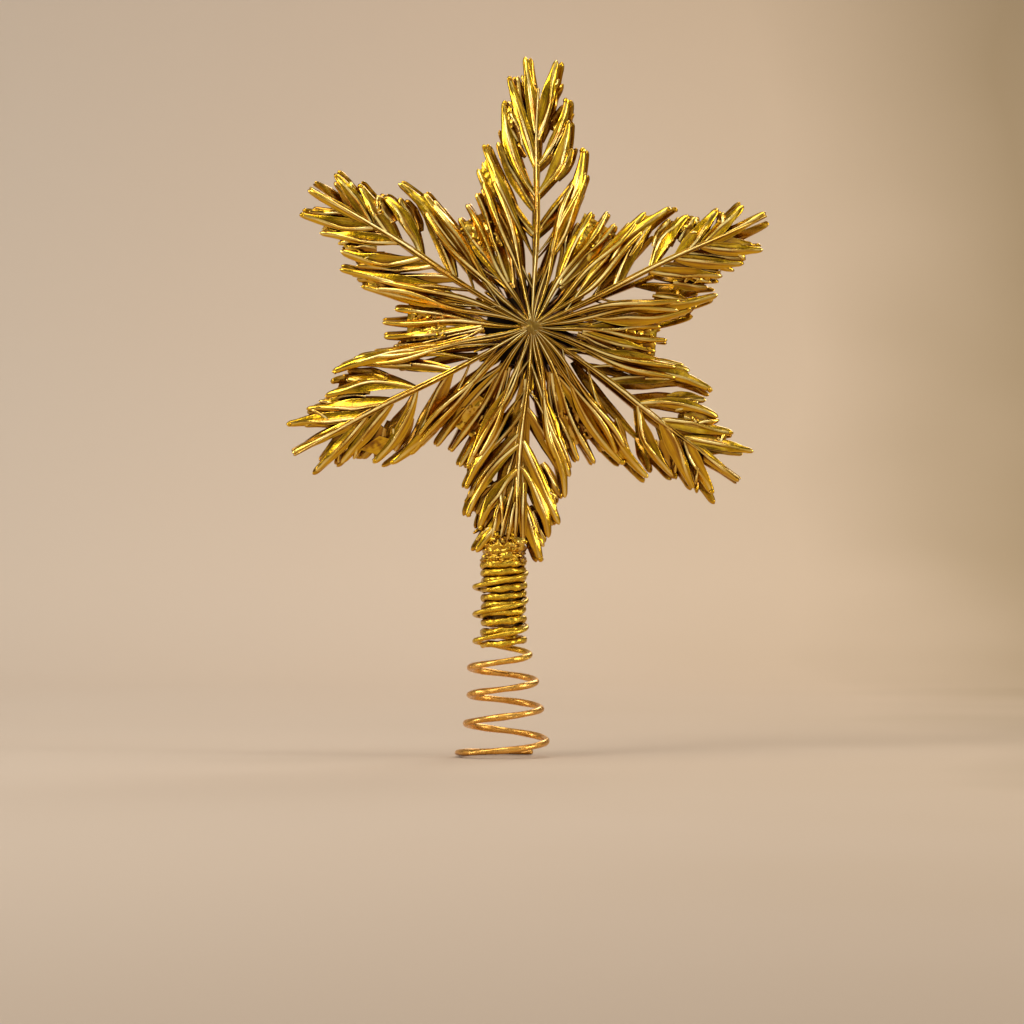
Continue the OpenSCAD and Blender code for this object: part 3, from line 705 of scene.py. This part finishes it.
def crumple(a, r, z):
    """Folds and torn edges of the tape, whose top runs under the leaves and whose foot lies on a wrap."""
    flat = on_circle(a, r, z * 1.6 + 4 * np.sin(a))
    lump = layered(flat, (1, 2.6, 0), (0.7, 1.3, 7), (0.4, 0.7, 19)).reshape(r.shape)
    out = np.clip((r - COLLAR_IN_R) / BAND_T, 0, 1)
    high = np.clip((z - BAND_LOW) / BAND_H, 0, 1)
    below = np.clip((BAND_LOW + 0.6 - z) / BAND_SKIRT, 0, 1)
    fold = np.sin((z - BAND_LOW) * 3.1 + 2.0 * np.sin(a) + 1.3 * np.sin(3 * a + 1))
    torn = 1.3 + around(a, 9, (1.2, 2.4, 0), (0.9, 1.1, 5))
    z = z + high ** 2 * torn * (0.3 + 0.7 * out)
    r = r + out * (0.75 * lump + 0.35 * fold - 0.35) - high ** 3 * 0.9 * out
    z = z + 0.45 * out * noise(flat + 31, 2.0).reshape(r.shape)
    z = z + below * (0.9 + around(a, 9, (1.1, 1.8, 11), (0.6, 0.9, 3)))
    return r, np.clip(z, BAND_LOW - BAND_SKIRT, BAND_LOW + BAND_H + 3.4)


def turned_rings(profile, count, wobble):
    """A closed turned shape about the vertical, from a profile of (radius, height) made uneven by wobble."""
    profile = np.asarray(profile, float)
    a = np.arange(count)[:, None] * 2 * math.pi / count
    r, z = wobble(a, profile[None, :, 0] * np.ones((count, 1)), profile[None, :, 1] * np.ones((count, 1)))
    n = len(profile)
    faces = []
    for i in range(count):
        m = (i + 1) % count
        for k in range(n):
            b = (k + 1) % n
            faces.append((i * n + k, m * n + k, m * n + b, i * n + b))
    return on_circle(a, r, z), faces


# Wires
def run_along(line):
    """The length of a line up to each of its points."""
    return np.concatenate([[0], np.cumsum(np.linalg.norm(np.diff(line, axis=0), axis=1))])


def tube(line, radii, sides=16, flat=1.0, twist=40.0):
    """Rings of a tube along a line that runs round the vertical, with its places round and along it.

    A flat share below one gives an oval wire that turns once in each length of twist.
    """
    line = np.asarray(line, float)
    heading = np.gradient(line, axis=0)
    heading /= np.linalg.norm(heading, axis=1)[:, None]
    side = np.cross(heading, [0, 0, 1.0])
    side /= np.linalg.norm(side, axis=1)[:, None]
    rise = np.cross(side, heading)
    a = np.arange(sides) * 2 * math.pi / sides
    along = run_along(line)
    turned = a[None, :] - (2 * math.pi * along / twist)[:, None]
    oval = 1 / np.sqrt(np.cos(turned) ** 2 + (np.sin(turned) / flat) ** 2)
    ring = np.cos(a)[None, :, None] * side[:, None, :] + np.sin(a)[None, :, None] * rise[:, None, :]
    points = (line[:, None, :] + (radii[:, None] * oval)[..., None] * ring).reshape(-1, 3)
    grain = np.stack(np.broadcast_arrays(a[None, :] * radii.mean(), along[:, None]), 2).reshape(-1, 2)
    return points, ring_faces(len(line), sides), grain


def with_round_ends(line, radius):
    """The line made longer by straight ends, and the radii that round them off."""
    first, last = line[0] - line[1], line[-1] - line[-2]
    steps = np.linspace(0, 2 * radius, 10)
    head = line[0] + np.outer(steps[:0:-1], first / np.linalg.norm(first))
    tail = line[-1] + np.outer(steps[1:], last / np.linalg.norm(last))
    full = np.concatenate([head, line, tail])
    along = run_along(full)
    left = np.minimum(along, along[-1] - along)
    bevel = radius * 0.45
    radii = radius * (0.55 + 0.45 * np.sqrt(np.clip(1 - (1 - np.clip(left / bevel, 0, 1)) ** 2, 0, 1)))
    return full, radii


def winding(turns, start):
    """The steps of a wire's turns, and their angles."""
    steps = np.linspace(0, turns, int(turns * STEPS_PER_TURN) + 1)
    return steps, np.radians(start + 360 * steps)


def coil_line():
    """The open coil, which higher up closes in on the collar, where its wire is drawn thinner."""
    turns, angles = winding(COIL_TURNS, COIL_START)
    tables = (COIL_RISE_SHARES, COIL_FLARE_SHARES, COIL_SWAY_SHARES)
    rise, flare, sway = (smooth_table(table, 5)(turns) for table in tables)
    radii = COIL_TOP_R + (COIL_FOOT_R - COIL_TOP_R) * flare
    closing = np.clip((turns - HUG_START) / HUG_RUN, 0, 1)
    hug = closing ** 2 * (3 - 2 * closing)
    hug_radii = HUG_R + HUG_LEFT * np.clip(-np.cos(angles), 0, 1) ** 4
    swayed = COIL_SWAY * sway + radii * np.cos(angles)
    x = (1 - hug) * swayed + hug * (SLEEVE_X + hug_radii * np.cos(angles))
    y = ((1 - hug) * radii + hug * hug_radii) * np.sin(angles)
    line, thick = with_round_ends(np.stack([x, y, COIL_WIRE_D / 2 + COIL_PITCH * rise], 1), COIL_WIRE_D / 2)
    return line, thick * (1 - 0.2 * np.clip((line[:, 2] - 38) / 8, 0, 1)) * 0.98


def binding_line():
    """The uneven wraps round the sleeve, with a looser tail below."""
    turns, angles = winding(BIND_TURNS + WRAP_TUCK, BIND_START)
    tail = np.clip(turns / BIND_TAIL_TURNS, 0, 1)
    tight = np.clip(turns, BIND_TAIL_TURNS, BIND_TURNS) - BIND_TAIL_TURNS
    height = BIND_LOW + BIND_TAIL * tail + BIND_PITCH * tight
    line = np.stack([SLEEVE_X + BIND_R * np.cos(angles), BIND_R * np.sin(angles), height], 1)
    line, thick = with_round_ends(line, BIND_WIRE_D / 2)
    line[:, 2] += 0.62 * noise(line + 5, 4.2)
    spread = 1 + 0.055 * noise(line + 11, 3.4)[:, None]
    line[:, :2] = (line[:, :2] - [SLEEVE_X, 0]) * spread + [SLEEVE_X, 0]
    return line, thick * (1.1 + layered(line, (0.28, 3.0, 0), (0.14, 1.5, 3)))


# Meshes
def placed(points, degrees, layer):
    """From the star's flat drawing to its place in the frame, in metres."""
    a = math.radians(degrees + layer * REAR_TURN)
    u, v, w = points.T
    x = HUB_X + u * math.cos(a) + v * math.sin(a)
    z = HUB_Z - u * math.sin(a) + v * math.cos(a)
    x = np.minimum(x, cad_high[0] / MM - 0.02)
    y = -w if layer == 0 else w
    return np.stack([x, y, z], 1) * MM


def link(name, data, home=None):
    """A new object in the scene, or in a collection of its own."""
    made = bpy.data.objects.new(name, data)
    (home or bpy.context.scene.collection).objects.link(made)
    return made


def mesh_object(name, points, faces, grain=None, turned=False, marks=None, home=None):
    mesh = bpy.data.meshes.new(name)
    if turned:
        faces = [tuple(reversed(f)) for f in faces]
    mesh.from_pydata(points.tolist(), [], faces)
    index = np.zeros(len(mesh.loops), int)
    mesh.loops.foreach_get("vertex_index", index)
    if grain is not None:
        mesh.uv_layers.new(name="grain").data.foreach_set("uv", (grain[index] * 0.1).ravel())
    if marks is not None:
        mesh.uv_layers.new(name="marks").data.foreach_set("uv", marks[index].ravel())
    mesh.update()
    return link(name, mesh, home)


def apply_modifiers(piece):
    graph = bpy.context.evaluated_depsgraph_get()
    whole = piece.evaluated_get(graph)
    mesh = bpy.data.meshes.new_from_object(whole, preserve_all_data_layers=True, depsgraph=graph)
    piece.modifiers.clear()
    piece.data = mesh


def keep_largest(mesh):
    """Takes out what is joined to nothing: crumbs that the union leaves, and blades that touch no other."""
    edges = np.zeros(len(mesh.edges) * 2, int)
    mesh.edges.foreach_get("vertices", edges)
    a, b = edges.reshape(-1, 2).T
    label = np.arange(len(mesh.vertices))
    settled = False
    while not settled:
        low = np.minimum(label[a], label[b])
        new = label.copy()
        np.minimum.at(new, a, low)
        np.minimum.at(new, b, low)
        new = new[new]
        settled = bool((new == label).all())
        label = new
    names, counts = np.unique(label, return_counts=True)
    loose = np.nonzero(label != names[counts.argmax()])[0]
    if len(loose):
        work = bmesh.new()
        work.from_mesh(mesh)
        work.verts.ensure_lookup_table()
        bmesh.ops.delete(work, geom=[work.verts[k] for k in loose.tolist()], context="VERTS")
        work.to_mesh(mesh)
        work.free()


def fused(name, shells, degrees, layer):
    """All shells of a frond or spray as one solid."""
    others = bpy.data.collections.new(name + "_shells")
    bpy.context.scene.collection.children.link(others)
    parts = []
    for k, (points, faces, grain, marks) in enumerate(shells.parts):
        points = placed(points, degrees, layer)
        home = others if k else None
        parts.append(mesh_object(f"{name}_{k}", points, faces, grain, layer == 1, marks, home))
    base = parts[0]
    join = base.modifiers.new("join", "BOOLEAN")
    join.operation = "UNION"
    join.solver = "MANIFOLD"
    join.operand_type = "COLLECTION"
    join.collection = others
    bpy.context.view_layer.update()
    apply_modifiers(base)
    keep_largest(base.data)
    for part in parts[1:]:
        bpy.data.objects.remove(part)
    bpy.data.collections.remove(others)
    base.name = name
    base.data.name = name
    return base


def smooth(piece, degrees):
    piece.data.polygons.foreach_set("use_smooth", [True] * len(piece.data.polygons))
    piece.data.set_sharp_from_angle(angle=math.radians(degrees))
    weigh = piece.modifiers.new("weigh", "WEIGHTED_NORMAL")
    weigh.keep_sharp = True
    weigh.weight = 50
    apply_modifiers(piece)


def paint(piece, material):
    if piece.material_slots:
        for slot in piece.material_slots:
            slot.material = material
    else:
        piece.data.materials.append(material)


def dress(piece, degrees, material, node):
    """Finishes a piece that stands for a CAD node."""
    smooth(piece, degrees)
    paint(piece, material)
    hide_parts(node)


# Materials
class Nodes:
    """A material or world whose nodes are added and joined by name."""

    def __init__(self, owner):
        owner.use_nodes = True
        self.owner = owner
        self.tree = owner.node_tree
        self.tree.nodes.clear()

    def add(self, kind, inputs=None, **settings):
        node = self.tree.nodes.new(kind)
        for key, value in settings.items():
            setattr(node, key, value)
        for key, value in (inputs or {}).items():
            if isinstance(value, bpy.types.NodeSocket):
                self.tree.links.new(value, node.inputs[key])
            else:
                node.inputs[key].default_value = value
        return node

    def place(self):
        return self.add("ShaderNodeTexCoord").outputs["Object"]

    def cloud(self, place, scale, detail, roughness=0.5, **settings):
        inputs = {"Vector": place, "Scale": scale, "Detail": detail, "Roughness": roughness}
        return self.add("ShaderNodeTexNoise", inputs, **settings).outputs["Fac"]

    def lines(self, across, along, roughness=0.5):
        """Fine lines that run along a blade or wire, and its grain."""
        grain = self.add("ShaderNodeUVMap", uv_map="grain").outputs["UV"]
        stretch = self.add("ShaderNodeMapping", {"Vector": grain, "Scale": (across, along, 1.0)})
        return self.cloud(stretch.outputs["Vector"], 1.0, 3.0, roughness, noise_dimensions="2D"), grain

    def openness(self, distance):
        """How far a spot is from lying in a hollow."""
        return self.add("ShaderNodeAmbientOcclusion", {"Distance": distance}, samples=6).outputs["AO"]

    def ramp(self, factor, stops):
        node = self.add("ShaderNodeValToRGB", {"Fac": factor})
        elements = node.color_ramp.elements
        while len(elements) < len(stops):
            elements.new(0.5)
        for element, (position, colour) in zip(elements, stops):
            element.position = position
            element.color = (*colour, 1)
        return node.outputs["Color"]

    def span(self, value, low, high, to_low, to_high):
        node = self.add("ShaderNodeMapRange", {0: value, 1: low, 2: high, 3: to_low, 4: to_high})
        return node.outputs["Result"]

    def math(self, operation, *values):
        return self.add("ShaderNodeMath", dict(enumerate(values)), operation=operation).outputs[0]

    def mix(self, a, b, factor=1.0, blend="MULTIPLY"):
        inputs = {"Factor": factor, "A": a, "B": b}
        return self.add("ShaderNodeMix", inputs, data_type="RGBA", blend_type=blend).outputs["Result"]

    def bump(self, height, distance, strength=1.0, **below):
        inputs = {"Strength": strength, "Distance": distance, "Height": height, **below}
        return self.add("ShaderNodeBump", inputs).outputs["Normal"]

    def shader(self, **inputs):
        inputs = {key.replace("_", " "): value for key, value in inputs.items()}
        return self.add("ShaderNodeBsdfPrincipled", inputs).outputs["BSDF"]

    def finish(self, surface):
        self.add("ShaderNodeOutputMaterial", {"Surface": surface})
        return self.owner


def between(light, deep):
    return [(a + b) / 2 for a, b in zip(light, deep)]


def gold(name, light, deep, roughness, grain=0.05, hammer=0.25, marked=True):
    """Bright plating with a painted highlight along the crests, painted shade in creases and hollows, and
    fine lines along each blade.
    """
    n = Nodes(bpy.data.materials.new(name))
    place = n.place()
    blotch = n.cloud(place, 420.0, 3.0, 0.55)
    openness = n.openness(0.006)
    fine, _ = n.lines(15.0, 0.9, 0.6)
    colour = n.ramp(n.cloud(place, 90.0, 4.0, 0.6), [(0.3, deep), (0.5, between(light, deep)), (0.72, light)])
    streak = n.ramp(fine, [(0.36, (0.78, 0.7, 0.58)), (0.52, (1, 1, 1))])
    colour = n.mix(colour, streak, 0.8)
    if marked:
        marks = n.add("ShaderNodeUVMap", uv_map="marks").outputs["UV"]
        split = n.add("ShaderNodeSeparateXYZ", {"Vector": marks})
        # Painted shade in the creases, from the marks
        crease_shade = [(0.0, (1, 1, 1)), (0.5, (0.53, 0.4, 0.23)), (1.0, (0.16, 0.09, 0.035))]
        colour = n.mix(colour, n.ramp(split.outputs["Y"], crease_shade))
    # Painted shade that darkens hollows and the spaces between the blades
    shade = n.ramp(openness, [(0.05, (0.12, 0.06, 0.014)), (0.5, (0.58, 0.45, 0.3)), (0.85, (1, 1, 1))])
    colour = n.mix(colour, shade)
    metal = 1.0
    if marked:
        # Painted highlight: crest lines and lump tops turn pale and less metallic, so that they show under
        # any lamp, and less so in hollows
        highlight_mix = n.math("MULTIPLY", split.outputs["X"], n.span(openness, 0.08, 0.4, 0.6, 1.0))
        colour = n.mix(colour, (*CREST_HIGHLIGHT, 1), highlight_mix, "MIX")
        metal = n.span(highlight_mix, 0.25, 1.0, 1.0, 0.42)
    normal = n.bump(fine, 0.001 * grain)
    normal = n.bump(blotch, 0.0004 * hammer, Normal=normal)
    return n.finish(n.shader(
        Base_Color=colour, Metallic=metal, Roughness=n.span(blotch, 0.25, 0.75, *roughness), Normal=normal,
        Coat_Weight=0.5, Coat_Roughness=0.12, Coat_IOR=1.5))


def wire_gold(name, light, deep, roughness, upper=None):
    """Plated wire with rubbed spots, fine lines, dents and painted shade in its hollows; its upper end may
    have another tone.
    """
    n = Nodes(bpy.data.materials.new(name))
    place = n.place()
    blotch = n.cloud(place, 260.0, 4.0, 0.65)
    fine, grain = n.lines(26.0, 1.0)
    colour = n.ramp(blotch, [(0.32, deep), (0.5, between(light, deep)), (0.68, light)])
    if upper:
        run = n.add("ShaderNodeSeparateXYZ", {"Vector": grain}).outputs["Y"]
        other = n.ramp(blotch, [(0.32, upper[1]), (0.68, upper[0])])
        colour = n.mix(colour, other, n.span(run, *COIL_TONE_CHANGE, 0.0, 1.0), "MIX")
    # Painted shade in the hollows between the wraps and turns
    shade = [(0.05, (0.14, 0.09, 0.04)), (0.5, (0.7, 0.62, 0.5)), (0.85, (1, 1, 1))]
    colour = n.mix(colour, n.ramp(n.openness(0.004), shade))
    dull = n.span(blotch, 0.25, 0.75, roughness[1], roughness[0])
    normal = n.bump(n.cloud(place, 700.0, 2.0), 0.00015, Normal=n.bump(fine, 0.00008))
    return n.finish(n.shader(Base_Color=colour, Metallic=1.0, Roughness=dull, Normal=normal))


def plain(name, deep, light, metallic, roughness, specular=0.5):
    """A surface that shows little: speckled colour, uneven gloss and a fine tooth."""
    n = Nodes(bpy.data.materials.new(name))
    place = n.place()
    speck = n.cloud(place, 500.0, 5.0, 0.7)
    return n.finish(n.shader(
        Base_Color=n.ramp(speck, [(0.4, deep), (0.7, light)]), Metallic=metallic,
        Roughness=n.span(speck, 0.3, 0.7, *roughness), Specular_IOR_Level=specular,
        Normal=n.bump(n.cloud(place, 1800.0, 2.0), 0.0001, 0.6)))


def backdrop_paper():
    n = Nodes(bpy.data.materials.new("backdrop_paper"))
    place = n.place()
    x, y, z = n.add("ShaderNodeSeparateXYZ", {"Vector": place}).outputs
    # Painted shade that darkens the paper to the right, with an uneven edge
    slope = n.math("ADD", x, n.math("MULTIPLY", n.cloud(place, 3.0, 2.0), 0.2))
    colour = n.ramp(n.span(slope, -0.25, 0.45, 0.0, 1.0), PAPER_AND_SHADE)
    # Painted shade along the sweep
    sweep_shading = n.ramp(n.span(n.math("ADD", y, z), *SWEEP_SHADING_SPAN, 0.0, 1.0), SWEEP_SHADING)
    colour = n.mix(colour, sweep_shading)
    normal = n.bump(n.cloud(place, 900.0, 2.0), 0.0002, 0.1)
    paper = n.shader(Base_Color=colour, Roughness=0.85, Specular_IOR_Level=0.2, Normal=normal)
    # For the camera alone, the floor fades out far from the object and the wall's back is open
    far = n.span(n.math("ABSOLUTE", x), *FADE_X, 0.0, 1.0)
    near = n.span(y, *FADE_Y, 0.0, 1.0)
    back = n.add("ShaderNodeNewGeometry").outputs["Backfacing"]
    seen = n.add("ShaderNodeLightPath").outputs["Is Camera Ray"]
    hidden = n.math("MULTIPLY", n.math("MAXIMUM", n.math("MAXIMUM", far, near), back), seen)
    clear = n.add("ShaderNodeBsdfTransparent").outputs["BSDF"]
    return n.finish(n.add("ShaderNodeMixShader", {0: hidden, 1: paper, 2: clear}).outputs["Shader"])


# Stage, camera and lamps
def stage_mesh():
    line = [(STAGE_FRONT, 0.0)] + [
        (STAGE_BACK - STAGE_BEND + STAGE_BEND * math.sin(a), STAGE_BEND - STAGE_BEND * math.cos(a))
        for a in np.linspace(0, math.pi / 2, 24)] + [(STAGE_BACK, STAGE_TOP)]
    points = [(x, y, z) for y, z in line for x in (-STAGE_HALF, STAGE_HALF)]
    faces = [(2 * i, 2 * i + 1, 2 * i + 3, 2 * i + 2) for i in range(len(line) - 1)]
    mesh = bpy.data.meshes.new("backdrop")
    mesh.from_pydata(points, [], faces)
    mesh.polygons.foreach_set("use_smooth", [True] * len(faces))
    stage = link("backdrop", mesh)
    return stage


def lamp(name, place, aim, size, power, colour):
    light = bpy.data.lights.new(name, "AREA")
    light.shape = "RECTANGLE"
    light.size, light.size_y = size
    light.energy = power
    light.color = colour
    lamp_object = link(name, light)
    lamp_object.location = place
    lamp_object.rotation_euler = (Vector(aim) - Vector(place)).to_track_quat("-Z", "Y").to_euler()


paint(stage_mesh(), backdrop_paper())

camera_data = bpy.data.cameras.new("camera")
camera = link("camera", camera_data)
bpy.context.scene.camera = camera
camera.location = VIEW_PLACE
camera.rotation_euler = (math.pi / 2, 0, 0)
camera_data.sensor_width = SENSOR
camera_data.lens = SENSOR * -VIEW_PLACE[1] / VIEW_WIDTH
camera_data.clip_start, camera_data.clip_end = 0.05, 20

for lamp_name, values in LAMPS.items():
    lamp(lamp_name, *values)

world = bpy.data.worlds.new("studio")
bpy.context.scene.world = world
sky = Nodes(world)
way = sky.add("ShaderNodeTexCoord").outputs["Generated"]
tone = sky.ramp(sky.cloud(way, 2.6, 1.5, 0.4), ROOM)
background = sky.add("ShaderNodeBackground", {"Color": tone, "Strength": 1.0})
sky.add("ShaderNodeOutputWorld", {"Surface": background.outputs["Background"]})

bpy.context.scene.view_settings.view_transform = "Standard"

# Fronds and sprays
gold_front = gold("gold_front", (0.86, 0.54, 0.007), (0.67, 0.375, 0.004), (0.13, 0.27))
# The rear layer's copy of the plating is darker: painted shade of the layer that lies behind
gold_rear = gold("gold_rear", (0.76, 0.435, 0.006), (0.55, 0.29, 0.004), (0.16, 0.3))

for layer, side in enumerate(LAYER_NAMES):
    finish = (gold_front, gold_rear)[layer]
    for i, angle in enumerate(ARM_ANGLES):
        following = ARM_ANGLES[(i + 1) % 6] + (360 if i == 5 else 0)
        for node, shells, turn in (
                (f"{side}_frond_{ARM_NAMES[i]}", frond(i, layer), angle),
                (f"{side}_spray_{NOTCH_NAMES[i]}", spray(i, layer), (angle + following) / 2)):
            piece = fused(node + "_leaves", shells, turn, layer)
            dress(piece, 38, finish, node)
            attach(piece, "star")

# The two wires
copper_wire = wire_gold("copper_gold_wire", (0.9, 0.52, 0.13), (0.72, 0.35, 0.06), (0.18, 0.36),
                        upper=((0.86, 0.56, 0.055), (0.64, 0.39, 0.025)))
line, thick = coil_line()
points, faces, grain = tube(line, thick, flat=0.84)
points = crinkled(points, 0.06, 5.0)
points[:, 1] = np.clip(points[:, 1], -COIL_REACH_Y, COIL_REACH_Y)
points[:, 2] = np.maximum(points[:, 2], COIL_LOWEST)
coil = mesh_object("coil_wire_round", points * MM, faces, grain)
dress(coil, 50, copper_wire, "coil_wire")
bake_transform(coil)

bright_wire = wire_gold("bright_wire", (0.86, 0.56, 0.055), (0.6, 0.36, 0.02), (0.16, 0.34))
points, faces, grain = tube(*binding_line())
binding = mesh_object("binding_wire_round", crinkled(points, 0.22, 1.7) * MM, faces, grain)
dress(binding, 50, bright_wire, "binding_wire")
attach(binding, "star")

# Crumpled tape round the top of the sleeve
tape_gold = gold("gold_tape", (0.86, 0.55, 0.04), (0.62, 0.36, 0.015), (0.18, 0.36), hammer=0.6, marked=False)
low_edge, tall = BAND_LOW - BAND_SKIRT, BAND_H + BAND_SKIRT
profile = [(0, BAND_LOW), (1.5, BAND_LOW), (3.0, low_edge)]
profile += [(BAND_T * (0.94 + 0.1 * math.sin(9 * x)), low_edge + tall * x) for x in np.linspace(0, 1, 30)]
profile += [(2.2, BAND_LOW + BAND_H), (0, BAND_LOW + BAND_H)]
points, faces = turned_rings([(COLLAR_IN_R + out, z) for out, z in profile], 140, crumple)
points[:, 0] += SLEEVE_X
band = mesh_object("tape_band_crumpled", points * MM, faces, points[:, [0, 2]])
dress(band, 60, tape_gold, "tape_band")
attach(band, "star")

# Centre buttons, on which the ribs run together
button_gold = gold(
    "gold_button", (0.5, 0.33, 0.06), (0.28, 0.16, 0.018), (0.3, 0.5), grain=0.02, hammer=0.7, marked=False)
head = SEAT_LEVEL + PAD_T
profile = [(0.02, SEAT_LEVEL), (3.2, SEAT_LEVEL), (3.25, head - 0.9), (3.7, head - 0.7), (4.0, head - 0.35)]
profile += [(3.95, head), (3.5, head + 0.26), (2.8, head + 0.4), (2.1, head + 0.48), (1.2, head + 0.5)]
profile += [(0.6, head + 0.5), (0.02, head + 0.5)]
points, faces = turned_rings(profile, 96, melted)
for layer, side in enumerate(LAYER_NAMES):
    piece = mesh_object(f"{side}_button_cast", placed(points, 0, layer), faces, points[:, :2], layer == 1)
    dress(piece, 45, button_gold, f"{side}_button")
    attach(piece, "star")

# The core as a rough cast body, near-black as painted shade of the hollow between the two layers
painted_shade = plain("dark_core", (0.008, 0.004, 0.0015), (0.035, 0.018, 0.005), 0.0, (0.55, 0.8), specular=0.12)
shares = np.linspace(0.05, 1, 13)
half = [(PIN_BORE_R, SEAT_LEVEL), (POST_R, SEAT_LEVEL), (POST_R, CORE_HALF + 1.2)]
half += [(POST_FOOT_R, CORE_HALF + 0.2)]
half += list(zip(POST_FOOT_R + (CORE_R - POST_FOOT_R) * shares, CORE_HALF * (1 - 0.5 * shares ** 3)))
points, faces = turned_rings([(r, -z) for r, z in half] + half[::-1], 120, wobbly)
core = mesh_object("core_hub_cast", placed(points, 0, 0), faces)
dress(core, 50, painted_shade, "core_hub")
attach(core, "star")

# CAD pieces that stay
plain_looks = {
    "centre_pin": ("pin_steel", (0.55, 0.55, 0.55), (0.65, 0.64, 0.62), 1.0, (0.22, 0.4)),
    # The stem rod is dark brown as painted shade of the middle between the layers
    "stem_rod": ("stem_wire", (0.2, 0.1, 0.015), (0.4, 0.22, 0.04), 0.8, (0.3, 0.5)),
    "stem_sleeve": ("sleeve_plastic", (0.16, 0.08, 0.012), (0.34, 0.18, 0.03), 0.7, (0.35, 0.55))}
for node, look in plain_looks.items():
    paint(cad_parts[node], plain(*look))
